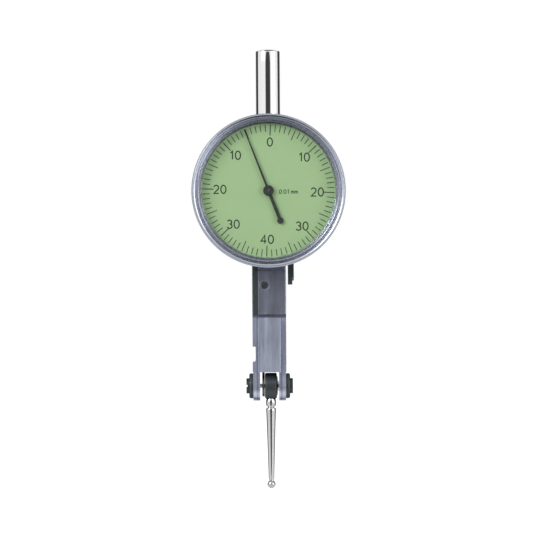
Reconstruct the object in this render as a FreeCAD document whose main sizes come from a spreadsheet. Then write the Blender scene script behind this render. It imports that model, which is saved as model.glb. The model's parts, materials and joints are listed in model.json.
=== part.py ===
import FreeCAD, Part
import math
import os

import Sketcher
from FreeCAD import Placement, Rotation, Vector

# Lever-type dial test indicator, held by its stem.
# Millimetres. +Z runs up the stem, the dial faces -Y and +X is to the right of the dial.
# The origin is on the stem's axis, where the stem leaves the frame.

SIZES = [
    # stem
    ("stem_diameter", 6.0, "clamping diameter of the stem"),
    ("stem_length", 17.7, "stem above the frame"),
    ("stem_crown", 0.65, "height of the stem's domed end"),
    ("spigot_diameter", 4.0, "threaded end of the stem inside the frame"),
    ("spigot_length", 3.0, "depth of that end"),
    # main distances
    ("stem_to_dial", 16.8, "frame's top to the dial's centre"),
    ("stem_to_pivot", 64.0, "frame's top to the lever's pivot"),
    ("works_reach", 47.2, "dial's centre to the foot of the works, from which their heights are counted"),
    # frame
    ("frame_width", 8.2, "across the frame"),
    ("rail_reach", 5.2, "stem axis to the face of either dovetail rail"),
    ("rail_height", 1.6, "rail above its shoulders"),
    ("rail_width", 5.46, "width of the rail's face"),
    ("rail_undercut", 0.92, "how far each flank leans in under the face"),
    ("rail_length", 13.25, "length of the rails"),
    ("runout_radius", 9.0, "cutter radius at the rail's upper end"),
    ("rail_gap", 0.75, "groove between the rail's crest and the frame above it"),
    ("seat_step", 0.4, "how far the dial's seat lies behind the frame's front"),
    ("seat_bottom", 28.06, "foot of the works to the lower edge of the dial's seat"),
    ("top_chamfer", 0.3, "chamfer round the frame's top"),
    ("edge_chamfer", 0.2, "long edges of the frame and its cover"),
    ("notch_depth", 0.73, "notch in the left side"),
    ("notch_bottom", 5.85, "pivot to the notch"),
    ("notch_height", 3.7, "height of the notch"),
    ("notch_fillet", 0.5, "rounding of the notch's corners"),
    # fork
    ("crotch_height", 3.4, "pivot to the bottom of the fork's slot"),
    ("fork_radius", 3.6, "round end of the fork's arms"),
    ("fork_slot", 4.6, "slot between the arms"),
    ("fork_width", 7.9, "across both arms"),
    # inside of the frame
    ("cavity_floor", 20.5, "foot of the works to the floor of the works' chamber"),
    ("cavity_height", 34.0, "height of the chamber"),
    ("cavity_half_depth", 3.0, "stem axis to the chamber's front and back walls"),
    ("cavity_width", 5.2, "depth of the chamber from the cover"),
    ("crown_clearance", 0.3, "round the crown wheel"),
    ("channel_width", 1.2, "channel for the lever's tail"),
    ("channel_half_depth", 1.8, "half of the channel's depth"),
    # side cover
    ("cover_thickness", 1.5, "side cover"),
    ("cover_bottom", 17.4, "foot of the works to the cover's lower end"),
    ("cover_margin", 3.6, "frame's top to the cover's upper end"),
    ("cover_screw_radius", 0.7, "thread of the cover's screws"),
    ("cover_screw_head", 1.25, "head radius of the cover's screws"),
    ("cover_screw_length", 2.2, "cover screws below the head"),
    ("cover_screw_spread", 3.5, "lower cover screws from the middle"),
    ("cover_screw_inset", 1.9, "cover screws from the cover's ends"),
    # pivot
    ("axle_radius", 0.5, "pivot axle"),
    ("axle_reach", 3.55, "half length of the axle"),
    ("pivot_screw_radius", 1.5, "threaded shank of the pivot screws"),
    ("pivot_head_radius", 1.85, "head of the pivot screws"),
    ("pivot_head_height", 0.7, "thickness of that head"),
    ("pivot_slot_width", 0.5, "slots of the pivot screws"),
    ("collar_radius", 3.05, "lock ring under the pivot screw's head"),
    ("collar_thickness", 1.0, "thickness of the lock ring"),
    ("collar_chamfer", 0.25, "outer edge of the lock ring"),
    ("running_fit", 0.03, "radial clearance of shafts in their bores"),
    ("face_gap", 0.05, "play between faces that turn on each other"),
    # measuring lever
    ("lever_thickness", 0.6, "measuring lever"),
    ("lever_inset", 0.5, "gap between the left arm and the lever"),
    ("lever_eye_radius", 2.6, "eye round the axle"),
    ("lever_width", 1.4, "tail of the lever"),
    ("drive_pin_radius", 0.3, "pin that drives the sector"),
    # swivel hub and stylus
    ("hub_radius", 3.15, "swivel hub"),
    ("hub_width", 2.9, "width of the hub"),
    ("hub_chamfer", 0.25, "edge of the hub"),
    ("washer_radius", 2.3, "spring washer"),
    ("washer_height", 0.28, "height of the spring washer"),
    ("washer_thickness", 0.14, "sheet of the spring washer"),
    ("flange_radius", 1.2, "axle's flange that holds the washer"),
    ("flange_thickness", 0.15, "thickness of that flange"),
    ("stylus_reach", 23.9, "pivot to the centre of the ball"),
    ("ball_radius", 1.0, "contact ball"),
    ("boss_radius", 1.25, "stylus's boss"),
    ("boss_length", 1.75, "length of the boss"),
    ("boss_chamfer", 0.2, "edges of the boss"),
    ("groove_radius", 0.85, "neck under the boss"),
    ("groove_length", 0.45, "length of that neck"),
    ("shank_radius", 1.22, "upper end of the tapered shank"),
    ("shank_tip_radius", 0.66, "lower end of the tapered shank"),
    ("shank_shoulder", 0.3, "bevelled shoulder of the shank"),
    ("neck_radius", 0.5, "neck above the ball"),
    ("neck_length", 0.35, "neck between shank and ball"),
    ("thread_radius", 0.8, "threaded end of the stylus"),
    ("thread_length", 1.9, "depth of that thread"),
    # gear train
    ("gear_module", 0.15, "module of all gears"),
    ("pinion_teeth", 12, "teeth of both pinions"),
    ("crown_teeth", 48, "teeth of the crown wheel"),
    ("sector_circle", 186, "teeth of the sector's full circle"),
    ("sector_arm", 8.033, "sector pivot to drive pin at rest"),
    ("tooth_share", 0.40, "tooth thickness as a share of the pitch"),
    ("sector_thickness", 0.5, "sector plate"),
    ("sector_left", 1.0, "dial axis to the sector's left face"),
    ("pinion_width", 1.1, "width of the crown arbor's pinion"),
    ("crown_face", 0.6, "radial length of the crown wheel's teeth"),
    ("crown_thickness", 0.4, "disc of the crown wheel"),
    ("crown_rim", 0.1, "disc beyond the crown wheel's teeth"),
    ("arbor_radius", 0.3, "arbors"),
    ("journal_radius", 0.2, "bearing ends of the arbors"),
    ("bearing_radius", 0.7, "bearing bushes"),
    ("bearing_length", 0.6, "length of the bushes"),
    ("bridge_thickness", 0.6, "bridge over the works"),
    ("bridge_half_depth", 4.3, "half depth of the bridge"),
    ("bridge_bottom", 29.6, "foot of the works to the bridge"),
    ("bridge_height", 22.8, "height of the bridge"),
    ("bridge_screw_radius", 0.45, "thread of the bridge's screws"),
    ("bridge_screw_inset", 0.75, "bridge screws from its edges"),
    ("cock_thickness", 0.5, "cock behind the pointer's arbor"),
    ("cock_width", 1.5, "width of the cock"),
    # stops
    ("stop_screw_radius", 0.9, "travel stop screw"),
    ("stop_screw_height", 24.4, "foot of the works to the stop screw"),
    ("stop_screw_offset", 1.1, "stop screw left of the middle"),
    ("stop_sink", 0.35, "stop screw's end below the frame's face"),
    ("stop_reach", 1.95, "stem axis to the stop screw's tip"),
    ("stop_counterbore", 1.2, "counterbore round the stop screw"),
    ("rest_pin_radius", 0.4, "rest pin"),
    ("rest_pin_height", 22.5, "foot of the works to the rest pin"),
    # changeover lever
    ("changeover_gap", 0.45, "frame to changeover lever"),
    ("changeover_thickness", 1.45, "changeover lever"),
    ("changeover_height", 38.0, "foot of the works to the changeover shaft"),
    ("changeover_length", 12.6, "shaft to the finger end's centre"),
    ("changeover_eye", 2.2, "eye of the changeover lever"),
    ("changeover_tip", 1.3, "finger end"),
    ("changeover_rest", 15.0, "degrees by which the lever leans forward"),
    ("changeover_shaft", 1.0, "radius of the changeover shaft"),
    # dial case
    ("case_back", 1.2, "back plate of the dial case"),
    ("flange_inset", 0.55, "bezel's outer edge to the edge of the flange behind it"),
    ("case_flange", 1.4, "thickness of the flange"),
    ("case_radius", 17.0, "wall of the case"),
    ("case_wall", 1.5, "thickness of the wall"),
    ("case_depth", 4.3, "seat to the front of the wall"),
    ("case_screw_radius", 0.7, "thread of the case's screws"),
    ("case_screw_head", 1.3, "head radius of the case's screws"),
    ("case_screw_length", 2.4, "case screws below the head"),
    ("case_screw_spread", 10.75, "case screws above and below the dial's centre"),
    ("case_screw_offset", 1.9, "case screws either side of their middle"),
    ("case_screw_middle", 1.0, "that middle, right of the dial's centre"),
    ("ring_height", 2.8, "seat to the bezel's spring ring"),
    ("ring_thickness", 0.4, "thickness of the spring ring"),
    ("ring_stand", 0.1, "spring ring beyond the case's wall"),
    ("ring_groove", 0.3, "depth of the spring ring's groove"),
    ("ring_sides", 24, "straight sides of the spring rings"),
    # bezel and dial
    ("bezel_wall", 1.4, "wall of the bezel's skirt, over the knurling"),
    ("bezel_gap", 0.3, "flange to bezel"),
    ("bezel_front", 7.8, "seat to the bezel's front"),
    ("bezel_chamfer", 0.35, "outer edges of the bezel"),
    ("bezel_band", 0.95, "rim round the bezel's front, chamfer and flat"),
    ("bezel_fit", 0.15, "case wall to bezel"),
    ("bezel_land", 0.35, "width of the land between dial and crystal"),
    ("bezel_lip", 0.15, "bezel above the crystal's edge"),
    ("knurl_count", 60, "notches round the bezel"),
    ("knurl_depth", 0.22, "depth of the notches"),
    ("knurl_land", 0.7, "plain bands beside the knurling"),
    ("crystal_inset", 0.5, "crystal's edge inside the case's outer wall"),
    ("crystal_thickness", 0.9, "edge of the crystal"),
    ("crystal_dome", 0.35, "rise of the crystal's middle"),
    ("dial_height", 5.0, "seat to the dial's face"),
    ("dial_thickness", 0.4, "dial plate"),
    ("dial_hole_radius", 1.1, "hole in the dial plate"),
    ("glass_room", 1.3, "dial's face to the crystal, the height of the bezel's land"),
    ("retainer_thickness", 0.25, "ring that holds the dial plate"),
    # pointer
    ("pointer_gap", 0.35, "pointer's tip to the bezel's land"),
    ("pointer_tip_width", 0.26, "width at the tip"),
    ("pointer_root_width", 0.55, "width at the hub"),
    ("pointer_tail", 7.75, "pointer's centre to the tail disc"),
    ("pointer_tail_width", 0.8, "width of the tail"),
    ("pointer_disc_radius", 0.78, "tail disc"),
    ("pointer_thickness", 0.15, "pointer's sheet"),
    ("pointer_height", 0.5, "dial's face to the pointer"),
    ("pointer_rest", 21.3, "degrees by which the pointer rests left of upright"),
    ("pointer_hub_radius", 1.3, "hub of the pointer"),
    ("pointer_hub_height", 0.7, "height of the hub"),
    ("collet_radius", 0.65, "hairspring's collet"),
    ("hairspring_height", 2.3, "seat to the hairspring"),
    ("hairspring_turns", 3, "turns of the hairspring"),
    ("hairspring_pitch", 0.42, "distance between its turns"),
    ("hairspring_thickness", 0.06, "strip of the hairspring"),
    ("hairspring_width", 0.25, "width of that strip"),
    # shared by small screws
    ("slot_width", 0.3, "screwdriver slots"),
    ("slot_depth", 0.3, "depth of the slots"),
    ("head_height", 0.5, "heads of the small screws"),
    ("inner_gap", 0.3, "clearance between moving works and their neighbours"),
]

MARGIN = 1.0  # how far cutting sketches reach past the metal
EMBED = 0.05  # how far a tooth starts inside the metal that carries it


class Size:
    """A length: its number now, and the sheet expression that keeps it up to date."""

    def __init__(self, value, text):
        self.value = value
        self.text = text

    def __add__(self, other):
        other = as_size(other)
        return Size(self.value + other.value, f"({self.text} + {other.text})")

    def __sub__(self, other):
        other = as_size(other)
        return Size(self.value - other.value, f"({self.text} - {other.text})")

    def __mul__(self, other):
        other = as_size(other)
        return Size(self.value * other.value, f"({self.text} * {other.text})")

    def __truediv__(self, other):
        other = as_size(other)
        return Size(self.value / other.value, f"({self.text} / {other.text})")

    def __radd__(self, other):
        return as_size(other) + self

    def __rsub__(self, other):
        return as_size(other) - self

    def __rmul__(self, other):
        return as_size(other) * self

    def __rtruediv__(self, other):
        return as_size(other) / self

    def __neg__(self):
        return Size(-self.value, f"(-1 * {self.text})")


def as_size(thing):
    if isinstance(thing, Size):
        return thing
    return Size(float(thing), "0" if thing == 0 else f"({thing:.9g})")


def root(size):
    return Size(math.sqrt(size.value), f"sqrt({size.text})")


def sine(degrees):
    degrees = as_size(degrees)
    return Size(math.sin(math.radians(degrees.value)), f"sin({degrees.text} * 1 deg)")


def cosine(degrees):
    degrees = as_size(degrees)
    return Size(math.cos(math.radians(degrees.value)), f"cos({degrees.text} * 1 deg)")


class Sheet:
    """The driving dimensions: sheet.stem_length is the Size of that cell."""

    def __init__(self, document):
        cells = document.addObject("Spreadsheet::Sheet", "Sizes")
        for row, (alias, number, meaning) in enumerate(SIZES, start=1):
            cells.set(f"A{row}", alias)
            cells.set(f"B{row}", str(number))
            cells.set(f"C{row}", meaning)
            cells.setAlias(f"B{row}", alias)
        document.recompute()
        for alias, _, _ in SIZES:
            setattr(self, alias, Size(float(cells.get(alias)), f"Sizes.{alias}"))


doc = FreeCAD.newDocument("dial_test_indicator")
s = Sheet(doc)
nodes = []

# Levels shared by several pieces.
pivot_z = -s.stem_to_pivot
dial_z = -s.stem_to_dial
seat_y = s.rail_reach - s.seat_step
half_width = s.frame_width / 2
cover_face = s.cover_thickness - half_width
shoulder = s.rail_reach - s.rail_height
pinion_radius = s.gear_module * s.pinion_teeth / 2
crown_radius = s.gear_module * s.crown_teeth / 2
sector_radius = s.gear_module * s.sector_circle / 2
addendum = s.gear_module * 0.9
dedendum = s.gear_module * 1.2
sector_z = dial_z - sector_radius - pinion_radius
drive_z = sector_z - s.sector_arm
right_wall = cover_face + s.cavity_width
bezel_radius = s.case_radius + s.bezel_fit + s.bezel_wall
crystal_radius = s.case_radius - s.crystal_inset
aperture_radius = crystal_radius - s.bezel_land
bezel_back = s.case_flange + s.bezel_gap
crystal_back = s.dial_height + s.glass_room
crystal_front = crystal_back + s.crystal_thickness
lever_left = s.lever_inset - s.fork_slot / 2
lever_right = lever_left + s.lever_thickness
hub_left = lever_right + s.face_gap
hub_right = hub_left + s.hub_width
channel_left = lever_left + s.lever_thickness / 2 - s.channel_width / 2


def above_pivot(height):
    return pivot_z + height


def above_foot(height):
    """A level in the works, which hang from the dial and keep their place when the pivot moves."""
    return dial_z - s.works_reach + height


# ---------------------------------------------------------------- sketches and features


def bind(thing, path, size):
    thing.setExpression(path, as_size(size).text)


def make_body(name, x=0, y=0, z=0, axis=None, angle=0):
    """A PartDesign body at (x, y, z), turned about an axis."""
    body = doc.addObject("PartDesign::Body", name)
    x, y, z, angle = (as_size(v) for v in (x, y, z, angle))
    body.Placement = Placement(Vector(x.value, y.value, z.value), Rotation(axis or Vector(0, 0, 1), angle.value))
    for path, size in (("x", x), ("y", y), ("z", z)):
        bind(body, f"Placement.Base.{path}", size)
    return body


def dial_body(name, height=0):
    """A body whose own XY plane lies parallel to the dial, with +Z towards the reader."""
    return make_body(name, 0, -seat_y - height, dial_z, Vector(1, 0, 0), 90)


def origin_feature(body, role):
    return next(item for item in body.Origin.OriginFeatures if item.Role == role)


def sketch_on(body, plane, name, lift=0, turn=0):
    """A sketch on one of the body's own planes, lifted along its normal and turned in it."""
    lift, turn = as_size(lift), as_size(turn)
    sketch = body.newObject("Sketcher::SketchObject", name)
    sketch.AttachmentSupport = [(origin_feature(body, plane), "")]
    sketch.MapMode = "FlatFace"
    sketch.AttachmentOffset = Placement(Vector(0, 0, lift.value), Rotation(Vector(0, 0, 1), turn.value))
    bind(sketch, "AttachmentOffset.Base.z", lift)
    if turn.value:
        sketch.setExpression("AttachmentOffset.Rotation.Angle", f"{turn.text} * 1 deg")
    return sketch


def place_point(sketch, edge, point, x, y):
    """Ties a point of the sketch to the sheet; a literal 0 puts it on the axis."""
    for kind, axis, size in (("DistanceX", -2, x), ("DistanceY", -1, y)):
        if size.text == "0":
            sketch.addConstraint(Sketcher.Constraint("PointOnObject", edge, point, axis))
        else:
            index = sketch.addConstraint(Sketcher.Constraint(kind, -1, 1, edge, point, size.value))
            bind(sketch, f"Constraints[{index}]", size)


def set_radius(sketch, edge, radius):
    index = sketch.addConstraint(Sketcher.Constraint("Radius", edge, radius.value))
    bind(sketch, f"Constraints[{index}]", radius)


def arc_between(start, end, radius):
    """The short arc from start to end; a negative radius bulges to the left instead of the right."""
    chord = end - start
    left = Vector(-chord.y, chord.x, 0).normalize()
    rise = math.sqrt(max(radius**2 - (chord.Length / 2) ** 2, 0))
    centre = (start + end) * 0.5 + left * math.copysign(rise, radius)
    first, last = (start, end) if radius > 0 else (end, start)
    from_angle = math.atan2(first.y - centre.y, first.x - centre.x)
    to_angle = math.atan2(last.y - centre.y, last.x - centre.x)
    if to_angle < from_angle:
        to_angle += 2 * math.pi
    return Part.ArcOfCircle(Part.Circle(centre, Vector(0, 0, 1), abs(radius)), from_angle, to_angle)


def outline(sketch, *corners):
    """A closed outline. A corner is (x, y), or (x, y, radius) where the next edge is an arc."""
    corners = [tuple(as_size(value) for value in corner) for corner in corners]
    ends = []
    for here, there in zip(corners, corners[1:] + corners[:1]):
        start = Vector(here[0].value, here[1].value, 0)
        end = Vector(there[0].value, there[1].value, 0)
        if len(here) == 3:
            edge = sketch.addGeometry(arc_between(start, end, here[2].value))
            ends.append((edge, 1, 2) if here[2].value > 0 else (edge, 2, 1))
        else:
            ends.append((sketch.addGeometry(Part.LineSegment(start, end)), 1, 2))
    for (edge, _, tail), (following, head, _) in zip(ends, ends[1:] + ends[:1]):
        sketch.addConstraint(Sketcher.Constraint("Coincident", edge, tail, following, head))
    for corner, (edge, head, _) in zip(corners, ends):
        place_point(sketch, edge, head, corner[0], corner[1])
        if len(corner) == 3:
            radius = corner[2]
            set_radius(sketch, edge, radius if radius.value > 0 else -radius)


def rectangle(sketch, left, right, bottom, top):
    outline(sketch, (left, bottom), (right, bottom), (right, top), (left, top))


def circle(sketch, x, y, radius):
    x, y, radius = (as_size(value) for value in (x, y, radius))
    edge = sketch.addGeometry(Part.Circle(Vector(x.value, y.value, 0), Vector(0, 0, 1), radius.value))
    place_point(sketch, edge, 3, x, y)
    set_radius(sketch, edge, radius)


def pad(body, sketch, length, side="One side", against=False):
    feature = body.newObject("PartDesign::Pad", f"{sketch.Name}_pad")
    feature.Profile = sketch
    bind(feature, "Length", length)
    feature.SideType = side
    feature.Reversed = against
    return feature


def pocket(body, sketch, length=None, against=False, side="One side"):
    """Cuts against the sketch's normal, or along it with against=True; no length cuts through all."""
    feature = body.newObject("PartDesign::Pocket", f"{sketch.Name}_pocket")
    feature.Profile = sketch
    if length is None:
        feature.Type = "ThroughAll"
    else:
        bind(feature, "Length", length)
    feature.SideType = side
    feature.Reversed = against
    return feature


def turned(body, sketch, axis="V_Axis"):
    """A full turn of the sketch about one of its own axes."""
    feature = body.newObject("PartDesign::Revolution", f"{sketch.Name}_turn")
    feature.Profile = sketch
    feature.ReferenceAxis = (sketch, [axis])
    feature.Angle = 360
    return feature


def polar(body, originals, axis, count, angle=360):
    """Repeats features about one of the body's own axes."""
    pattern = body.newObject("PartDesign::PolarPattern", f"{originals[0].Name}_ring")
    pattern.Originals = originals
    pattern.Axis = (origin_feature(body, axis), [""])
    bind(pattern, "Angle", angle)
    bind(pattern, "Occurrences", count)
    body.Tip = pattern
    return pattern


def hole(body, plane, name, x, y, radius, lift, depth=None, against=False):
    """A round hole cut from a plane of the body."""
    sketch = sketch_on(body, plane, name, lift)
    circle(sketch, x, y, radius)
    return pocket(body, sketch, depth, against)


def edges_where(shape, test, upright=False):
    """Names of the edges whose two ends both pass a test on (x, y, z), or of the upright ones only."""
    found = []
    for index, edge in enumerate(shape.Edges, start=1):
        ends = [vertex.Point for vertex in edge.Vertexes]
        if len(ends) < 2 or not all(test(end) for end in ends):
            continue
        run = ends[1] - ends[0]
        if not upright or math.hypot(run.x, run.y) < 1e-4:
            found.append(f"Edge{index}")
    return found


def bevel(body, base, edges, size, kind="Chamfer"):
    """Chamfers or fillets edges of the body's last feature."""
    feature = body.newObject(f"PartDesign::{kind}", f"{base.Name}_{kind.lower()}")
    feature.Base = (base, edges)
    bind(feature, "Size" if kind == "Chamfer" else "Radius", size)
    return feature


def revolved(name, corners, x=0, y=0, z=0):
    """A body of one revolution about Z; corners are (radius, height)."""
    body = make_body(name, x, y, z)
    sketch = sketch_on(body, "XZ_Plane", f"{name}_profile")
    outline(sketch, *corners)
    turned(body, sketch)
    return body


def keep(name, thing):
    """Gives a finished piece its label and puts it on the list of nodes."""
    thing.Label = name
    nodes.append((name, thing))
    return thing


def grouped(name, pieces):
    """Several identical pieces that share one node."""
    group = doc.addObject("Part::Compound", f"{name}_group")
    group.Links = pieces
    return keep(name, group)


def slotted_screw(name, spot, turn, sizes, slot_turn=0, slot_width=None):
    """A cheese-head screw; its head rises along its own +Z from the spot.

    spot is (x, y, z), turn is (axis, degrees) and sizes are (head radius, head height, shank radius, shank length).
    """
    half_slot = (slot_width or s.slot_width) / 2
    head_radius, head_height, shank_radius, shank_length = sizes
    body = make_body(name, *spot, *turn)
    profile = sketch_on(body, "XZ_Plane", f"{name}_profile")
    outline(
        profile,
        (0, -shank_length),
        (shank_radius, -shank_length),
        (shank_radius, 0),
        (head_radius, 0),
        (head_radius, head_height),
        (0, head_height),
    )
    turned(body, profile)
    slot = sketch_on(body, "XY_Plane", f"{name}_slot", head_height, slot_turn)
    rectangle(slot, -head_radius - MARGIN, head_radius + MARGIN, -half_slot, half_slot)
    pocket(body, slot, s.slot_depth)
    return body


def polygon_ring(name, outer, inner, thickness, level):
    """A flat spring ring bent to a polygon; outer and inner are the radii of its corners."""
    prisms = []
    for side, radius in (("outer", outer), ("inner", inner)):
        prism = doc.addObject("Part::Prism", f"{name}_{side}")
        bind(prism, "Polygon", s.ring_sides)
        bind(prism, "Circumradius", radius)
        bind(prism, "Height", thickness)
        prisms.append(prism)
    ring = doc.addObject("Part::Cut", f"{name}_cut")
    ring.Base, ring.Tool = prisms
    level_y = -seat_y - level
    ring.Placement = Placement(Vector(0, level_y.value, dial_z.value), Rotation(Vector(1, 0, 0), 90))
    bind(ring, "Placement.Base.y", level_y)
    bind(ring, "Placement.Base.z", dial_z)
    return keep(name, ring)


def bush(name, spot, turn):
    """A bearing bush whose inner end is at the spot."""
    body = make_body(name, *spot, *turn)
    sketch = sketch_on(body, "XY_Plane", f"{name}_ring")
    circle(sketch, 0, 0, s.bearing_radius)
    circle(sketch, 0, 0, s.journal_radius + s.running_fit)
    pad(body, sketch, s.bearing_length)
    return body


TO_LEFT = (Vector(0, 1, 0), -90)  # own +Z towards -X
TO_RIGHT = (Vector(0, 1, 0), 90)  # own +Z towards +X
TO_FRONT = (Vector(1, 0, 0), 90)  # own +Z towards -Y


# ---------------------------------------------------------------- frame and its cover


def frame_block(body):
    """The bar from the fork's crotch to the stem, stepped back where the dial case sits."""
    crotch = above_pivot(s.crotch_height)
    block = sketch_on(body, "YZ_Plane", "block")
    outline(
        block,
        (-s.rail_reach, crotch),
        (s.rail_reach, crotch),
        (s.rail_reach, 0),
        (-seat_y, 0),
        (-seat_y, above_foot(s.seat_bottom)),
        (s.edge_chamfer - s.rail_reach, above_foot(s.seat_bottom)),
        (-s.rail_reach, above_foot(s.seat_bottom) - s.edge_chamfer),
    )
    bar = pad(body, block, s.frame_width, "Symmetric")
    doc.recompute()
    outer = half_width.value
    long_edges = edges_where(bar.Shape, lambda p: abs(abs(p.x) - outer) < 1e-4, upright=True)
    bevel(body, bar, long_edges, s.edge_chamfer)
    arms = sketch_on(body, "YZ_Plane", "arms")
    outline(
        arms,
        (-s.fork_radius, crotch),
        (-s.fork_radius, pivot_z, s.fork_radius),
        (0, pivot_z - s.fork_radius, s.fork_radius),
        (s.fork_radius, pivot_z),
        (s.fork_radius, crotch),
    )
    pad(body, arms, s.fork_width, "Symmetric")
    slot = sketch_on(body, "XZ_Plane", "fork_slot_cut")
    rectangle(slot, -s.fork_slot / 2, s.fork_slot / 2, pivot_z - s.fork_radius - MARGIN, crotch)
    pocket(body, slot, None, side="Symmetric")


def frame_rails(body):
    """The dovetail rails on the front and back, each with its cutter's arched run-out above."""
    crotch = above_pivot(s.crotch_height)
    outer = half_width + MARGIN
    face, neck = s.rail_width / 2, s.rail_width / 2 - s.rail_undercut
    grooves = sketch_on(body, "XY_Plane", "dovetail_grooves", crotch)
    for x_sign in (-1, 1):
        for y_sign in (-1, 1):
            outline(
                grooves,
                (face * x_sign, (s.rail_reach + EMBED) * y_sign),
                (neck * x_sign, shoulder * y_sign),
                (outer * x_sign, shoulder * y_sign),
                (outer * x_sign, (s.rail_reach + EMBED) * y_sign),
            )
    pocket(body, grooves, s.rail_length, against=True)
    crest = crotch + s.rail_length
    arch_side = crest - s.runout_radius + root(s.runout_radius * s.runout_radius - outer * outer)
    for name, lift, forward in (("front_runout", shoulder, True), ("rear_runout", -shoulder, False)):
        runout = sketch_on(body, "XZ_Plane", name, lift)
        outline(
            runout,
            (outer, arch_side, s.runout_radius),
            (0, crest, s.runout_radius),
            (-outer, arch_side),
            (-outer, crest + s.rail_gap),
            (outer, crest + s.rail_gap),
        )
        pocket(body, runout, None, against=forward)


def frame_works_chamber(body):
    """The chamber for the works, its cover's seat, the bridge's seat and the lever's channel."""
    cover_top = -s.cover_margin
    seat = sketch_on(body, "XZ_Plane", "cover_seat")
    rectangle(seat, -half_width - MARGIN, cover_face, above_foot(s.cover_bottom), cover_top)
    pocket(body, seat, None, side="Symmetric")
    chamber = sketch_on(body, "YZ_Plane", "chamber", cover_face)
    depth = s.cavity_half_depth
    floor = above_foot(s.cavity_floor)
    rectangle(chamber, -depth, depth, floor, floor + s.cavity_height)
    pocket(body, chamber, s.cavity_width, against=True)
    crown_room = crown_radius + s.crown_face / 2 + s.crown_rim + s.crown_clearance
    hole(body, "YZ_Plane", "crown_room", 0, dial_z, crown_room, cover_face, s.cavity_width, True)
    bridge_seat = sketch_on(body, "YZ_Plane", "bridge_seat", cover_face)
    bottom = above_foot(s.bridge_bottom)
    rectangle(bridge_seat, -s.bridge_half_depth, s.bridge_half_depth, bottom, bottom + s.bridge_height)
    pocket(body, bridge_seat, s.bridge_thickness, against=True)
    channel = sketch_on(body, "XY_Plane", "lever_channel", above_pivot(s.crotch_height))
    rectangle(
        channel, channel_left, channel_left + s.channel_width, -s.channel_half_depth, s.channel_half_depth
    )
    pocket(body, channel, floor - above_pivot(s.crotch_height), against=True)


def frame_holes(body):
    """Every hole in the frame, each sized by the piece that goes into it."""
    hole(body, "XY_Plane", "spigot_hole", 0, 0, s.spigot_diameter / 2, 0, s.spigot_length)
    pivots = sketch_on(body, "YZ_Plane", "pivot_holes")
    circle(pivots, 0, pivot_z, s.pivot_screw_radius)
    pocket(body, pivots, None, side="Symmetric")
    window = s.bearing_radius + 2 * s.crown_clearance
    hole(body, "XZ_Plane", "arbor_window", 0, dial_z, window, s.cavity_half_depth - MARGIN, None, True)
    stop_z = above_foot(s.stop_screw_height)
    hole(body, "XZ_Plane", "stop_hole", -s.stop_screw_offset, stop_z, s.stop_screw_radius, s.rail_reach,
         s.rail_reach - s.cavity_half_depth)
    hole(body, "XZ_Plane", "stop_sink_hole", -s.stop_screw_offset, stop_z, s.stop_counterbore, s.rail_reach,
         s.stop_sink)
    case_holes = sketch_on(body, "XZ_Plane", "case_screw_holes", seat_y)
    for x, z in case_screw_spots():
        circle(case_holes, x, dial_z + z, s.case_screw_radius)
    pocket(body, case_holes, s.case_screw_length - s.case_back)
    cover_holes = sketch_on(body, "YZ_Plane", "cover_screw_holes", cover_face)
    for y, z in cover_screw_spots():
        circle(cover_holes, y, z, s.cover_screw_radius)
    pocket(body, cover_holes, s.cover_screw_length - s.cover_thickness + s.head_height, against=True)
    bridge_holes = sketch_on(body, "YZ_Plane", "bridge_screw_holes", cover_face + s.bridge_thickness)
    for y, z in bridge_screw_spots():
        circle(bridge_holes, y, z, s.bridge_screw_radius)
    pocket(body, bridge_holes, s.bridge_thickness * 2, against=True)
    bearings = sketch_on(body, "YZ_Plane", "bearing_holes", right_wall)
    for z in (dial_z, sector_z):
        circle(bearings, 0, z, s.bearing_radius)
    pocket(body, bearings, s.bearing_length, against=True)
    shaft_bore = s.changeover_shaft + s.running_fit
    hole(body, "YZ_Plane", "changeover_bore", 0, above_foot(s.changeover_height), shaft_bore,
         right_wall - MARGIN, None, True)
    hole(body, "YZ_Plane", "rest_pin_hole", rest_pin_y(), above_foot(s.rest_pin_height), s.rest_pin_radius,
         right_wall, s.inner_gap * 3, True)


def case_screw_spots():
    """Places of the case's screws from the dial's centre, as (x, height)."""
    middle, spread = s.case_screw_middle, s.case_screw_offset
    return [(middle + spread * side, s.case_screw_spread * up) for side in (-1, 1) for up in (-1, 1)]


def cover_screw_spots():
    """Places of the cover's screws as (y, z): two at its foot and one at its head."""
    foot = above_foot(s.cover_bottom) + s.cover_screw_inset
    head = -s.cover_margin - s.cover_screw_inset
    return [(-s.cover_screw_spread, foot), (s.cover_screw_spread, foot), (0, head)]


def bridge_screw_spots():
    """Places of the bridge's screws as (y, z), near its corners."""
    reach = s.bridge_half_depth - s.bridge_screw_inset
    bottom = above_foot(s.bridge_bottom)
    heights = (bottom + s.bridge_screw_inset, bottom + s.bridge_height - s.bridge_screw_inset)
    return [(reach * side, z) for side in (-1, 1) for z in heights]


def rest_pin_y():
    """The pin's place behind the lever's tail, which touches it at rest."""
    return s.lever_width / 2 + s.rest_pin_radius + s.running_fit


def make_frame():
    body = make_body("frame_body")
    frame_block(body)
    frame_rails(body)
    frame_works_chamber(body)
    frame_holes(body)
    notch = sketch_on(body, "XZ_Plane", "side_notch")
    bottom = above_pivot(s.notch_bottom)
    rectangle(notch, -half_width - MARGIN, s.notch_depth - half_width, bottom, bottom + s.notch_height)
    cut = pocket(body, notch, None, side="Symmetric")
    doc.recompute()
    depth = (s.notch_depth - half_width).value
    corners = edges_where(cut.Shape, lambda p: abs(p.x - depth) < 1e-4 and abs(p.z - bottom.value) < 1e-4)
    rounded = bevel(body, cut, corners, s.notch_fillet, "Fillet")
    doc.recompute()
    rim = edges_where(rounded.Shape, lambda p: abs(p.z) < 1e-4)
    bevel(body, rounded, rim, s.top_chamfer)
    return keep("frame", body)


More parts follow.
